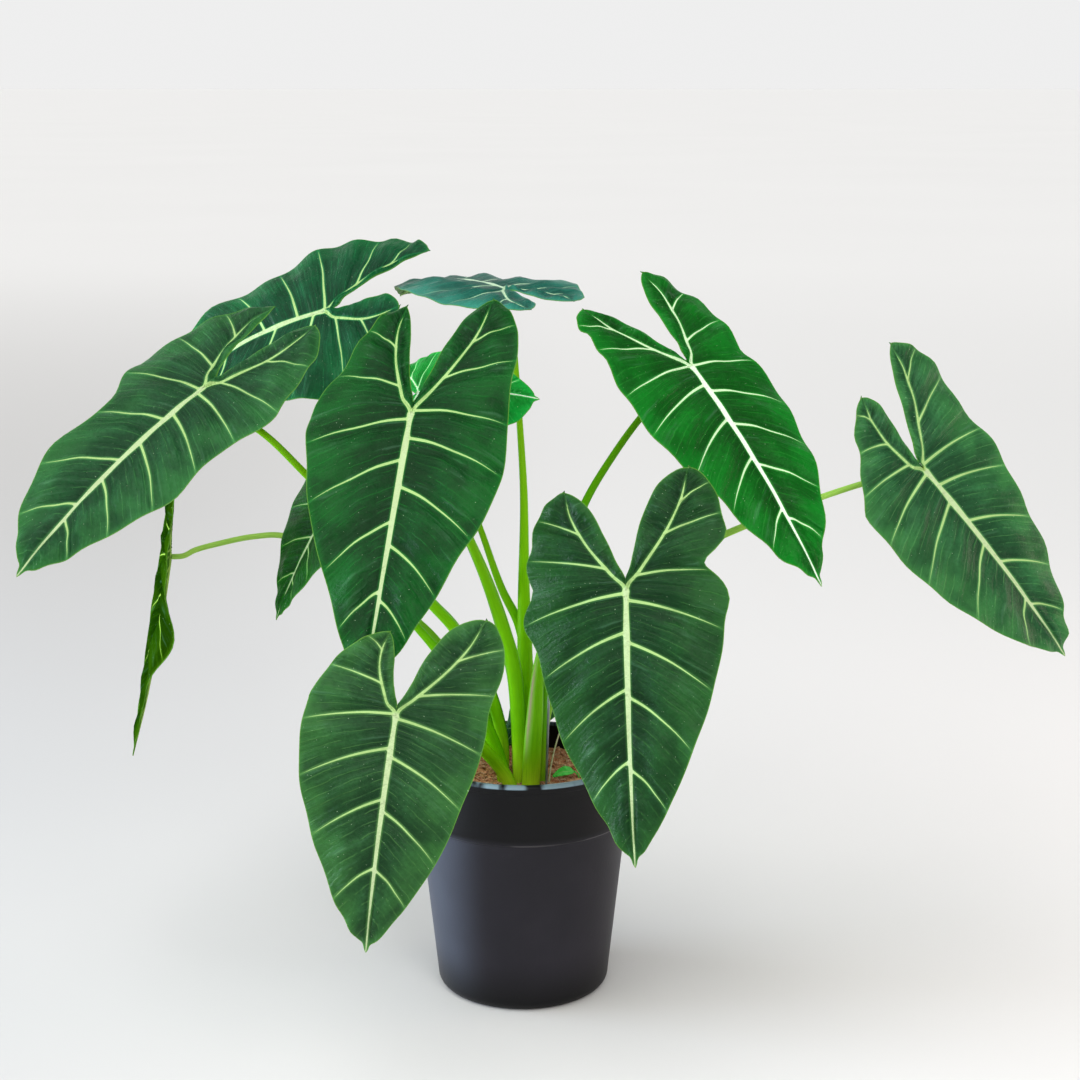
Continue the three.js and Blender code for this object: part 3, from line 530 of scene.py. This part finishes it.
def component(vector, k):
    return put("SeparateXYZ", {"Vector": vector}, k)


def maths(kind, a, b=0.5):
    return put("Math", {0: a, 1: b}, operation=kind)


def product(a, b):
    return maths("MULTIPLY", a, b)


def total(a, b):
    return maths("ADD", a, b)


def times(vector, by):
    return put("VectorMath", {0: vector, 1: by}, operation="MULTIPLY")


def step(value, low, high, to=(0.0, 1.0)):
    """Smoothly from the first to the second of to as value goes from low to high."""
    return put("MapRange", {"Value": value, "From Min": low, "From Max": high, "To Min": to[0],
                            "To Max": to[1]}, interpolation_type="SMOOTHSTEP")


def mix(factor, a, b, blend="MIX"):
    a, b = ((*c, 1) if isinstance(c, tuple) and len(c) == 3 else c for c in (a, b))
    return put("Mix", {0: factor, 6: a, 7: b}, 2, data_type="RGBA", blend_type=blend)


def noise(vector, scale, detail=3.0, rough=0.5):
    return put("TexNoise", {"Vector": vector, "Scale": scale, "Detail": detail,
                            "Roughness": rough})


def paint(colour, rough=None):
    """Feeds the shader's colour and, where it is given, its roughness."""
    now.tree.links.new(colour, now.shader.inputs["Base Color"])
    if rough:
        now.tree.links.new(rough, now.shader.inputs["Roughness"])


def bump(height, strength, distance):
    normal = put("Bump", {"Height": height, "Strength": strength, "Distance": distance})
    now.tree.links.new(normal, now.shader.inputs["Normal"])


def blade_textures():
    """What a blade's mesh carries, and the noises that follow the leaf's own lines."""
    t = SimpleNamespace(**{k: carried(k) for k in ("vein", "edge", "rib", "under")},
                        **{k: carried(k, True) for k in ("flat", "weave", "tone")})
    shift = put("TexNoise", {"Vector": t.flat, "Scale": 0.45, "Detail": 3.0}, 1)

    def woven(scale, wander):
        """The leaf's own lines as noise coordinates, wandering a little."""
        return put("VectorMath", {0: times(t.weave, scale), 1: times(shift, wander)},
                   operation="ADD")

    t.mottle = noise(t.flat, 0.3)
    t.crumple = noise(woven((8.0, 1.6, 1.0), (0.7, 0.6, 0.0)), 1.0)
    t.folds = noise(woven((3.3, 0.8, 1.0), (0.7, 0.5, 0.0)), 1.0, 2.0, 0.4)
    t.grain = noise(t.flat, 3.4, 4.0, 0.6)
    # fine arcs, six from one side vein to the next
    phase = component(woven((12.0, 0.0, 0.0), (1.3, 0.0, 0.0)), 0)
    faint = step(noise(woven((5.0, 4.0, 1.0), (3.0, 2.0, 0.0)), 1.0, 2.0), 0.40, 0.62)
    t.arcs = product(step(maths("PINGPONG", phase, 1.0), 0.80, 1.0), faint)
    # from 0 on the vein nearer the tip to 1 on the next, and from 0 at the rib to 1 at the margin
    t.tipward = maths("FRACT", component(t.weave, 0))
    t.outward = maths("ABSOLUTE", component(t.weave, 1))
    return t


def upper_side(t, deep, fresh, lush, glow, side_vein, mid_vein):
    """Painted shade deepens the folds and hollows, a painted sheen lies on the crests, lusher
    outwards, and pale veins in a halo.
    """
    body = mix(step(t.mottle, 0.34, 0.68, (0.35, 0.8)), deep, fresh)
    # painted shade: darker beside the rib, next to the vein nearer the tip in each space between
    # two veins, and in the low parts of the crumples, folds and grain, which are the bump's hollows
    for value, low, high, most in ((t.outward, 0.5, 0.03, 0.5), (t.tipward, 0.55, 0.0, 0.55),
                                   (t.crumple, 0.55, 0.40, 0.28), (t.folds, 0.50, 0.34, 0.35),
                                   (t.grain, 0.60, 0.38, 0.30)):
        body = mix(step(value, low, high, (0.0, most)), body, deep)
    ripe = product(step(t.outward, 0.3, 1.0), step(t.mottle, 0.36, 0.6, (0.15, 0.55)))
    body = mix(ripe, body, lush)
    body = mix(step(t.edge, 6.0, 0.5, (0.0, 0.5)), body, lush)
    body = mix(product(t.arcs, 0.26), body, glow)
    halo = step(t.vein, -2.6, 0.1)
    body = mix(product(product(halo, halo), 0.5), body, glow)
    body = mix(1.0, body, t.tone, "MULTIPLY")
    # painted sheen: the crumples' crests are lifted towards a pale grey-green
    body = mix(step(t.crumple, 0.57, 0.75, (0.0, 0.20)), body, (0.10, 0.25, 0.14))
    line = mix(step(t.rib, 4.5, 1.2), side_vein, mid_vein)
    colour = mix(step(t.vein, -0.18, 0.18), body, line)
    # the thin light margin, and a few pale freckles
    colour = mix(step(t.edge, 1.0, 0.2, (0.0, 0.6)), colour, (0.14, 0.34, 0.04))
    freckle = noise(t.flat, 7.0, 1.0)
    return mix(step(freckle, 0.755, 0.785, (0.0, 0.7)), colour, (0.45, 0.62, 0.40))


def lower_side(t):
    """Duller and paler than the upper side, with light ribs."""
    colour = mix(step(t.mottle, 0.3, 0.8), (0.055, 0.17, 0.028), (0.080, 0.22, 0.034))
    colour = mix(0.5, colour, t.tone, "MULTIPLY")
    return mix(step(t.vein, -1.0, 0.6), colour, (0.30, 0.48, 0.10))


def blade_material(name, gloss, *colours):
    """Velvety blade: quilted, with fine light arcs between pale veins in a bright halo."""
    mat = material(name, 0.5, gloss)
    t = blade_textures()
    colour = mix(t.under, upper_side(t, *colours), lower_side(t))
    paint(colour, step(noise(t.flat, 0.9), 0.3, 0.7, (0.32, 0.48)))
    height = total(product(t.crumple, 1.2), product(t.folds, 1.9))
    fine = total(product(t.arcs, 0.12), product(t.grain, 0.45))
    bump(total(height, fine), 0.8, 0.0024)
    return mat


def stalk_material(name, foot, low, high, shade):
    """Smooth fleshy stalk: paler at the foot, with long fine streaks."""
    mat = material(name, 0.38, 0.06)
    along, climb = carried("along", True), carried("climb")
    streaks = noise(times(along, (2.2, 0.03, 1.0)), 1.0)
    mottle = noise(times(along, (0.7, 0.05, 1.0)), 1.0, 2.0)
    colour = mix(step(climb, 0.04, 0.18), foot, low)
    colour = mix(step(climb, 0.35, 0.75), colour, high)
    colour = mix(product(step(streaks, 0.45, 0.75), 0.45), colour, shade)
    colour = mix(product(step(mottle, 0.5, 0.75), 0.3), colour, shade)
    colour = mix(1.0, colour, carried("tone", True), "MULTIPLY")
    colour = mix(carried("dry"), colour, (0.33, 0.27, 0.16))
    paint(colour, step(mottle, 0.3, 0.7, (0.32, 0.48)))
    bump(streaks, 0.4, 0.0008)
    return mat


# gloss, then the colours: deep, fresh, lush, glow, side vein, midrib
blades = {
    "dark": blade_material("blade_velvet", 0.10, (0.002, 0.020, 0.005), (0.015, 0.100, 0.024),
                           (0.018, 0.122, 0.020), (0.055, 0.25, 0.050), (0.38, 0.59, 0.21),
                           (0.47, 0.61, 0.32)),
    # painted sheen: the top leaf's green is turned paler and blue-green to stand for the sheen on
    # it
    "misty": blade_material("blade_painted_sheen", 0.12, (0.003, 0.05, 0.036), (0.018, 0.20, 0.14),
                            (0.035, 0.27, 0.19), (0.07, 0.34, 0.20), (0.50, 0.72, 0.46),
                            (0.58, 0.78, 0.56)),
    "bright": blade_material("blade_fresh", 0.09, (0.001, 0.040, 0.002), (0.003, 0.18, 0.011),
                             (0.004, 0.20, 0.014), (0.030, 0.36, 0.035), (0.60, 0.82, 0.50),
                             (0.78, 0.90, 0.74)),
    "matte": blade_material("blade_matte", 0.0, (0.003, 0.020, 0.001), (0.020, 0.095, 0.004),
                            (0.040, 0.130, 0.004), (0.060, 0.20, 0.010), (0.30, 0.50, 0.07),
                            (0.42, 0.60, 0.10)),
}
# the colours at the foot, low and high on the stalk, and of its darker streaks
stalks = {
    "green": stalk_material("stalk_fresh", (0.46, 0.76, 0.02), (0.18, 0.55, 0.001),
                            (0.16, 0.42, 0.002), (0.11, 0.40, 0.001)),
    "olive": stalk_material("stalk_pale", (0.42, 0.62, 0.16), (0.22, 0.54, 0.02),
                            (0.34, 0.60, 0.10), (0.16, 0.38, 0.03)),
}
BLADE_KINDS = {"young_middle": "bright", "right_upper": "bright", "top": "misty",
               "left_hanging": "matte"}
OLIVE_STALKS = ("right_outer", "left_hanging")
# what a leaf's red, green and blue are multiplied by, next to the usual blade or stalk
TONES = {
    # the bluish lifts of left_outer and left_upper are painted sheen on their green
    "left_outer": (1.6, 1.35, 1.75), "left_upper": (0.3, 1.15, 1.6),
    "centre_left": (0.3, 0.92, 0.6), "front_left_low": (2.15, 1.3, 1.6),
    "front_right": (1.15, 0.93, 1.0), "right_outer": (2.5, 1.75, 2.4),
    "left_inner": (0.4, 1.2, 0.2), "young_middle": (1.6, 2.1, 3.4),
    "left_hanging": (0.8, 0.75, 0.3),
}
STALK_TONES = {"top": (1.2, 1.1, 1.6), "right_upper": (0.55, 0.72, 0.6),
               "left_inner": (0.8, 0.9, 0.6), "front_right": (0.85, 0.88, 0.9)}


# ---- leaves
def stalk_way(leaf):
    """The stalk's way from the crown in the soil up to the underside of its blade."""
    s, _, n = leaf_axes(leaf)
    top = np.array(leaf["at"], float) - n + 1.5 * s
    via = leaf["via"]
    coming = top - via[-1]
    half_way = coming / np.linalg.norm(coming) + n
    neck = top - NECK * half_way / np.linalg.norm(half_way)
    root = (via[0][0], via[0][1], ROOT_Z)
    return [root, *[p for p in via if p[2] > ROOT_Z + 4], neck, top]


def dry_strip(angle, f):
    """The dry brown strip down the side of the front right leaf's sheath, from 0 to 1."""
    side = np.angle(np.exp(1j * (angle - 2.2)))
    strip = np.exp(-(side / 0.32) ** 2) * np.clip((f - 0.12) / 0.1, 0, 1)
    return strip * np.clip((0.42 - f) / 0.08, 0, 1)


def stalk(name, leaf, mat):
    """A stalk with an open, grooved sheath at its foot that closes to a round stem."""
    line, length = way(stalk_way(leaf), 4)
    foot, top = leaf["thick"]
    f = length / length[-1]
    closes = 0.34 if name == "front_right" else SHEATH
    radius = top + (0.92 * foot - top) / (1 + (f / closes) ** 5)
    a = np.linspace(0, 2 * np.pi, STALK_SIDES, endpoint=False)
    turn = np.abs(np.angle(np.exp(1j * a)))  # how far round from the groove
    sheath = np.clip((SHEATH - f) / 0.2, 0, 1)
    sheath = sheath**2 * (3 - 2 * sheath)

    def section(i):
        k = sheath[i]
        r = radius[i] * (1 + 0.02 * k)
        groove = 1 - (0.10 + 0.38 * k) * np.exp(-((turn / 0.5) ** 2))
        lips = 1 + 0.06 * k * np.exp(-((turn - 0.95) / 0.3) ** 2)
        return np.stack([r * groove * lips * np.sin(a) * (1 + 0.05 * k),
                         r * groove * lips * np.cos(a) * (1 - 0.06 * k)], -1)

    inwards = np.array([-line[0][0], -line[0][1] + 8.0, 12.0])
    points, faces = tube(line, section, inwards)
    count = len(points)
    climb = np.repeat(f, STALK_SIDES)
    dry = dry_strip(np.tile(a, len(f)), climb) if name == "front_right" else np.zeros(count)
    extra = {"climb": climb, "dry": dry,
             "tone": np.tile(STALK_TONES.get(name, (1, 1, 1)), (count, 1)),
             "along": np.c_[np.tile(turn, len(f)) * 2, np.repeat(length, STALK_SIDES),
                            np.full(count, leaf["phase"] * 9)]}
    return make_object(f"stem_{name}", points, faces, mat, extra, sharp=60)


for name, leaf in LEAVES.items():
    kind = BLADE_KINDS.get(name, "dark")
    piece = blade(name, leaf, blades[kind], TONES.get(name, (1, 1, 1)))
    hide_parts(f"blade_{name}")
    kind = "olive" if name in OLIVE_STALKS else "green"
    piece = stalk(name, leaf, stalks[kind])
    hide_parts(f"stalk_{name}")


# ---- pot
def arc(r, z, radius, start, end, steps):
    """Points of a profile on an arc round (r, z), from one angle to another in degrees."""
    a = np.radians(np.linspace(start, end, steps + 1))
    return np.stack([r + radius * np.cos(a), z + radius * np.sin(a)], 1)


def lathe(profile, segments):
    """A closed ring of quads from a profile that starts and ends on the axis."""
    a = np.linspace(0, 2 * np.pi, segments, endpoint=False)
    body = np.asarray(profile[1:-1], float)
    rings = np.stack([body[:, :1] * np.cos(a), body[:, :1] * np.sin(a),
                      np.repeat(body[:, 1:], segments, 1)], -1)
    ends = [[0, 0, profile[0][1]], [0, 0, profile[-1][1]]]
    points = np.concatenate([rings.reshape(-1, 3), ends])
    i = np.arange(len(body) * segments).reshape(len(body), segments)
    j = np.roll(i, -1, 1)
    faces = band(i)
    low, high = len(points) - 2, len(points) - 1
    faces += [[low, int(q), int(p)] for p, q in zip(i[0], j[0])]
    faces += [[high, int(p), int(q)] for p, q in zip(i[-1], j[-1])]
    return points, faces


def pot_material():
    """Black plastic, dusty, with painted light: a bluish painted highlight on its left side, a
    painted highlight line under the collar, a painted sky reflection on the lip, and painted shade
    on the collar and the foot.
    """
    mat = material("pot_plastic", 0.4, 0.2)
    where = place()
    across, away, height = (component(where, k) for k in range(3))
    cloud = noise(where, 9.0, 4.0)
    fine = noise(where, 420.0, 2.0)
    dust = noise(where, 60.0, 5.0, 0.7)
    colour = mix(step(cloud, 0.35, 0.7), (0.013, 0.012, 0.017), (0.020, 0.018, 0.025))
    # painted highlight: a pale bluish lift on the left side, strongest towards the front, stands
    # for a window's reflection
    painted_left_highlight = product(step(across, -0.030, -0.078), step(cloud, 0.2, 0.6, (0.7, 1.0)))
    painted_left_highlight = product(painted_left_highlight, step(away, 0.055, -0.025, (0.15, 0.8)))
    colour = mix(painted_left_highlight, colour, (0.068, 0.080, 0.112))
    # painted shade: the collar, under the leaves, and the foot, near the floor, are darker
    collar = step(height, (LEDGE_Z - 3) * MM, (LEDGE_Z + 5) * MM)
    colour = mix(collar, colour, (0.0012, 0.0011, 0.0020))
    colour = mix(product(step(height, 0.06, 0.0), 0.9), colour, (0.0008, 0.0007, 0.0006))
    # a painted highlight line under the collar, the dust, and the lip's painted sky reflection with
    # its painted dark breaks
    # painted highlight: a broken light line just under the collar stands for a reflection
    painted_ledge_highlight = step(noise(times(where, (1.0, 1.0, 0.1)), 17.0), 0.40, 0.62)
    ledge = maths("ABSOLUTE", maths("SUBTRACT", height, (LEDGE_Z - 0.6) * MM))
    painted_ledge_highlight = product(step(ledge, 1.6 * MM, 0.4 * MM), product(painted_ledge_highlight, 0.8))
    colour = mix(painted_ledge_highlight, colour, (0.075, 0.07, 0.075))
    colour = mix(product(step(dust, 0.66, 0.8), 0.25), colour, (0.06, 0.06, 0.065))
    # painted reflection: a pale blue band on the lip stands for the sky, broken by dark patches
    # that stand for the leaves' shadows in it
    lip = step(height, (POT_H - 4) * MM, (POT_H - 3) * MM)
    painted_dark_breaks = step(noise(times(where, (1.0, 1.0, 0.2)), 42.0), 0.42, 0.54)
    colour = mix(product(lip, product(painted_dark_breaks, 0.95)), colour, (0.24, 0.35, 0.42))
    paint(colour, step(cloud, 0.3, 0.7, (0.40, 0.52)))
    bump(total(fine, product(dust, 0.5)), 0.25, 0.0003)
    return mat


def pot_profile():
    """The pot's wall from the middle of its bottom up the outside and down the inside."""
    foot = BASE_R + (BODY_R - BASE_R) * FOOT_ROUND / LEDGE_Z
    lip_z = POT_H - LIP_H
    side = [(BODY_R + (foot - BODY_R) * k, LEDGE_Z - 2 + (FOOT_ROUND - LEDGE_Z + 2) * k)
            for k in np.linspace(0.94, 0.02, 12)]
    collar = [(BODY_R, LEDGE_Z - 1.6), (BODY_R + 0.5, LEDGE_Z - 1.0),
              (COLLAR_R - 0.5, LEDGE_Z - 0.5), (COLLAR_R, LEDGE_Z + 0.3), (COLLAR_R, LEDGE_Z + 6),
              (COLLAR_R, lip_z - 6), (COLLAR_R, lip_z - 1.2), (COLLAR_R + 0.2, lip_z - 0.7)]
    lip = [(RIM_R - 0.5, lip_z + 0.1), (RIM_R - 0.1, lip_z + 0.7), (RIM_R, lip_z + 1.6),
           (RIM_R, POT_H - 3.2)]
    inside = [(COLLAR_R - WALL, lip_z), (COLLAR_R - WALL, lip_z - 3),
              (COLLAR_R - WALL, LEDGE_Z + 1), (BODY_R - WALL, LEDGE_Z - 2)]
    return np.concatenate([
        [(0, 0)], arc(foot - FOOT_ROUND, FOOT_ROUND, FOOT_ROUND, -90, -6, 10), side, collar, lip,
        arc(RIM_R - 3, POT_H - 3, 3, 5, 90, 7),
        arc(RIM_R - LIP_IN + 1.2, POT_H - 1.2, 1.2, 100, 180, 4), inside,
        arc(foot - FOOT_ROUND, FOOT_ROUND, FOOT_ROUND - WALL, 0, -90, 6), [(0, WALL)]])


def drill_holes(pot):
    """Cuts the drain holes through the pot's bottom."""
    points, faces = [], []
    for k in range(DRAIN_COUNT):
        a = 2 * math.pi * (k + 0.5) / DRAIN_COUNT
        p, f = lathe([(0, -4), (DRAIN_R, -4), (DRAIN_R, 4), (0, 4)], 24)
        points.append(p + [DRAIN_RING * math.cos(a), DRAIN_RING * math.sin(a), 0])
        faces += [[v + k * len(p) for v in g] for g in f]
    cutter = make_object("drill", np.concatenate(points), faces, pot.data.materials[0], body=None)
    cut = pot.modifiers.new("holes", "BOOLEAN")
    cut.object, cut.operation, cut.solver = cutter, "DIFFERENCE", "EXACT"
    bpy.context.view_layer.update()
    graph = bpy.context.evaluated_depsgraph_get()
    holed = bpy.data.meshes.new_from_object(pot.evaluated_get(graph))
    pot.modifiers.clear()
    pot.data = holed
    bpy.data.objects.remove(cutter)


points, faces = lathe(pot_profile(), POT_SEGMENTS)
pot = make_object("nursery_pot", points, faces, pot_material(), sharp=40)
drill_holes(pot)
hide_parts("pot")


# ---- soil
def soil_height(x, y):
    chip = (np.sin(0.31 * x + 1.3) * np.cos(0.27 * y - 0.4)
            + 0.7 * np.sin(0.53 * x - 0.45 * y + 2.1) + 0.5 * np.cos(0.71 * y + 0.22 * x))
    return SOIL_Z + 1.2 * chip


def soil_material():
    """Red-brown bark and coir, its chips lighter, with dark gaps."""
    mat = material("soil_bark", 0.9, 0.25)
    where = place()
    coarse, fine = noise(where, 70.0, 5.0, 0.7), noise(where, 600.0, 4.0, 0.7)
    colour = mix(step(coarse, 0.35, 0.65), (0.52, 0.19, 0.09), (0.92, 0.48, 0.27))
    colour = mix(carried("tone"), colour, (0.95, 0.68, 0.45))
    fleck = step(fine, 0.36, 0.62, (0.45, 1.0))
    paint(mix(fleck, (0.10, 0.045, 0.022), colour))
    bump(total(coarse, product(fine, 0.4)), 0.8, 0.002)
    return mat


def soil_bed():
    """The rough top of the soil with a skirt down into the pot, closed below."""
    r, a = np.meshgrid(np.linspace(0, 1, SOIL_RINGS + 1)[1:] * SOIL_R,
                       np.linspace(0, 2 * np.pi, SOIL_SECTORS, endpoint=False), indexing="ij")
    x, y = r * np.cos(a), r * np.sin(a)
    z = soil_height(x, y) + rng.normal(0, 0.45, x.shape) * (r < SOIL_R - 1)
    top = np.concatenate([np.stack([x, y, z], -1).reshape(-1, 3), [[0, 0, soil_height(0, 0)]]])
    i = np.arange(SOIL_RINGS * SOIL_SECTORS).reshape(SOIL_RINGS, SOIL_SECTORS)
    j = np.roll(i, -1, 1)
    faces = np.stack([i[:-1], i[1:], j[1:], j[:-1]], -1).reshape(-1, 4).tolist()
    faces += [[len(top) - 1, int(p), int(q)] for p, q in zip(i[0], j[0])]
    skirt = top[i[-1]] * (0.985, 0.985, 1) - (0, 0, 18)
    low = len(top) + np.arange(SOIL_SECTORS)
    faces += np.stack([i[-1], low, np.roll(low, -1), j[-1]], -1).tolist()
    faces.append(low[::-1].tolist())
    return np.concatenate([top, skirt]), faces


def bark_chip(strand, cx, cy, size):
    """A rough box of bark or, long and thin, a bent strand of coir, lying on the soil."""
    box = np.array([(sx, sy, sz) for sz in (-1, 1)
                    for sx, sy in ((-1, -1), (1, -1), (1, 1), (-1, 1))])
    box = box * size / 2 * rng.uniform(0.7, 1.15, (8, 1))
    if strand:
        box[:, 1] += 0.06 * box[:, 0] ** 2 * rng.uniform(-1, 1)
    turn, tilt = rng.random() * 2 * math.pi, rng.normal(0, 0.12 if strand else 0.4)
    c, s, ct, st = math.cos(turn), math.sin(turn), math.cos(tilt), math.sin(tilt)
    box = box @ np.array([[ct, 0, st], [0, 1, 0], [-st, 0, ct]]).T
    box = box @ np.array([[c, -s, 0], [s, c, 0], [0, 0, 1]]).T
    return box + [cx, cy, soil_height(cx, cy) + 0.5 + rng.random() * 0.9]


def bark_soil():
    points, faces = soil_bed()
    tone = [np.zeros(len(points))]
    first, points = len(points), [points]
    for k in range(CHIPS):
        rad, ang = SOIL_R * 0.97 * math.sqrt(rng.random()), rng.random() * 2 * math.pi
        strand = k % 5 == 0
        size = np.array([rng.uniform(6, 16), 0.5, 0.5] if strand else
                        [rng.uniform(1.6, 6.5), rng.uniform(1.2, 3.6), rng.uniform(0.5, 1.5)])
        if rad + size[0] > SOIL_R - 1:
            continue
        points.append(bark_chip(strand, rad * math.cos(ang), rad * math.sin(ang), size))
        tone.append(np.full(8, rng.random() ** 2 * 0.8))
        faces += [[first + v for v in g] for g in ((3, 2, 1, 0), (4, 5, 6, 7), (0, 1, 5, 4),
                                                   (1, 2, 6, 5), (2, 3, 7, 6), (3, 0, 4, 7))]
        first += 8
    return make_object("bark_soil", np.concatenate(points), faces, soil_material(),
                       {"tone": np.concatenate(tone)}, sharp=30)


soil = bark_soil()
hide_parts("soil")


# ---- stake, twig and seedling
def ring(sides):
    a = np.linspace(0, 2 * np.pi, sides, endpoint=False)
    return np.stack([np.sin(a), np.cos(a)], -1)


def plain_tube(name, points, radius, step_mm, mat):
    """A thin round rod through the points; radius is a function of the way along it."""
    line, _ = way(points, step_mm)
    grow = [radius(k / (len(line) - 1)) for k in range(len(line))]
    p, f = tube(line, lambda i: ring(14) * grow[i], ROD_UP)
    return make_object(name, p, f, mat, sharp=50)


def streaked(name, one, two, roughness, scale, metallic=0.0):
    """Two colours in upright streaks."""
    mat = material(name, roughness, metallic=metallic)
    grain = noise(times(place(), (1.0, 1.0, 0.15)), scale, 4.0)
    paint(mix(step(grain, 0.35, 0.65), one, two),
          step(grain, 0.3, 0.7, (roughness, roughness + 0.15)))
    bump(grain, 0.3, 0.0004)
    return mat


def seedling_material():
    """Bright young green with a paler midrib."""
    mat = material("seedling_leaf", 0.4, 0.5)
    where = place()
    colour = mix(step(noise(where, 260.0), 0.35, 0.65), (0.05, 0.62, 0.06), (0.12, 0.80, 0.12))
    middle = step(carried("spread"), 0.12, 0.02)
    paint(mix(middle, colour, (0.30, 0.70, 0.18)))
    bump(noise(where, 500.0, 2.0), 0.3, 0.0005)
    return mat


def seedling_leaf():
    """A small leaf, 21 mm long and 0.6 mm thick, that lies towards the stalks on its stem."""
    foot, tip = np.array([48, -4, 208.0]), np.array([27, -4, 203.0])
    across = np.array([0, 0.85, 0.5]) / np.hypot(0.85, 0.5)
    f, q = np.meshgrid(np.linspace(0, 1, 25), np.linspace(-1, 1, 15), indexing="ij")
    wide = 5.5 * np.sin(np.pi * f**0.8) ** 0.8
    mid = foot + (tip - foot) * f[..., None]
    mid = mid + np.array([0, 0, 2.5]) * np.sin(np.pi * f)[..., None]
    sheet = mid + across * (q * wide)[..., None]
    crimp = 1.1 * np.abs(q) ** 1.3 + 0.15 * np.cos(26 * f - 5 * np.abs(q))
    sheet[..., 2] += -1 + crimp * wide / 5.5
    i = np.arange(f.size).reshape(f.shape)
    quads = grid_quads(i)
    rim = np.r_[i[0, :-1], i[:-1, -1], i[-1, :0:-1], i[:0:-1, 0]]
    faces = quads[:, ::-1].tolist() + (quads + f.size).tolist()
    after = np.roll(rim, -1)
    faces += np.stack([after, rim, rim + f.size, after + f.size], -1).tolist()
    stem, _ = way([(52, -2, 192), (52, -3, 203), (48, -4, 208)], 1.5)
    p, g = tube(stem, lambda k: 0.8 * ring(10), ROD_UP)
    faces += [[v + 2 * f.size for v in h] for h in g]
    points = np.concatenate([(sheet + (0, 0, 0.3)).reshape(-1, 3),
                             (sheet - (0, 0, 0.3)).reshape(-1, 3), p])
    spread = np.r_[np.abs(q).ravel(), np.abs(q).ravel(), np.full(len(p), 0.3)]
    return make_object("seedling_leaf", points, faces, seedling_material(), {"spread": spread},
                       sharp=50)


metal = streaked("stake_grey", (0.16, 0.19, 0.20), (0.30, 0.34, 0.35), 0.35, 300.0, 0.6)
stake = plain_tube("wire_stake", [(21, -24, 170), (24, -21, 281), (27, -18, 392)], lambda f: 1.2,
                   12, metal)
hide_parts("support_stake")
straw = streaked("straw", (0.42, 0.40, 0.22), (0.62, 0.62, 0.40), 0.7, 500.0)
twig = plain_tube("straw_twig", [(24, -20, 192), (25, -15, 208), (30, 10, 226), (38, 38, 243)],
                  lambda f: 0.9 * (1 - 0.3 * f), 3, straw)
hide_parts("dry_twig")
seedling = seedling_leaf()
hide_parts("seedling")


# ---- floor and light
def floor_material():
    """Pale paper with painted shade: darker near the pot and more so on its left."""
    mat = material("floor_pale", 0.95, 0.05)
    where = place()
    across, away = (component(where, k) for k in (0, 1))
    colour = mix(noise(where, 0.35, 2.0), (0.84, 0.835, 0.83), (0.87, 0.865, 0.86))
    # painted shade: greyer from 9 m away inwards, and more so on the left
    painted_near_shade = step(away, 9.0, 0.0)
    colour = mix(product(painted_near_shade, 0.20), colour, (0.3, 0.3, 0.3))
    left = product(painted_near_shade, step(across, 0.25, -0.9, (0.0, 0.34)))
    paint(mix(left, colour, (0.2, 0.195, 0.19)))
    return mat


def studio_sky():
    """A soft grey room, lighter behind the plant, that the camera sees as even light grey."""
    world = bpy.data.worlds.new("studio")
    scene.world = world
    world.use_nodes = True
    now.tree = world.node_tree
    direction = put("TexCoord", {}, "Generated")
    back = step(component(direction, 1), -0.5, 0.7)
    high = step(component(direction, 2), 0.05, 0.8)
    sky = mix(back, (0.30, 0.30, 0.30), SEEN_GREY)
    sky = mix(high, sky, (0.42, 0.425, 0.43))
    sky = mix(put("LightPath", {}, "Is Camera Ray"), sky, SEEN_GREY)
    background = now.tree.nodes["Background"]
    now.tree.links.new(sky, background.inputs["Color"])
    background.inputs["Strength"].default_value = 1.0


def lamp(name, kind, energy, colour, location, target=(0, 0, 0.3), **values):
    """A lamp that shines from its place at the target."""
    data = bpy.data.lights.new(name, kind)
    data.energy, data.color = energy, colour
    for key, value in values.items():
        setattr(data, key, value)
    obj = bpy.data.objects.new(name, data)
    scene.collection.objects.link(obj)
    obj.location = location
    x, y, z = (t - p for t, p in zip(target, location))
    obj.rotation_euler = (math.atan2(math.hypot(x, y), -z), 0, math.atan2(-x, y))


floor = make_object("floor", np.array([(-1, -1, 0), (1, -1, 0), (1, 1, 0), (-1, 1, 0)]) * REACH,
                    [[0, 1, 2, 3]], floor_material(), body=None)
studio_sky()
lamp("overhead", "SUN", 2.1, (1.0, 0.99, 0.97), (-1.2, -0.9, 2.7), angle=math.radians(65))
for name, energy, colour, location, target_z, wide, tall in (
        ("left_window", 62.0, (0.70, 0.84, 1.0), (-2.4, 0.1, 0.32), 0.15, 1.3, 0.6),
        ("front_fill", 34.0, (1.0, 0.99, 0.96), (0.5, -2.3, 1.6), 0.2, 1.8, 1.2),
        ("right_bounce", 8.0, (1.0, 0.72, 0.62), (1.9, 0.3, 0.3), 0.1, 0.8, 0.8)):
    lamp(name, "AREA", energy, colour, location, (0, 0, target_z), shape="RECTANGLE", size=wide,
         size_y=tall)

scene.view_settings.view_transform = "Standard"
bpy.context.view_layer.update()
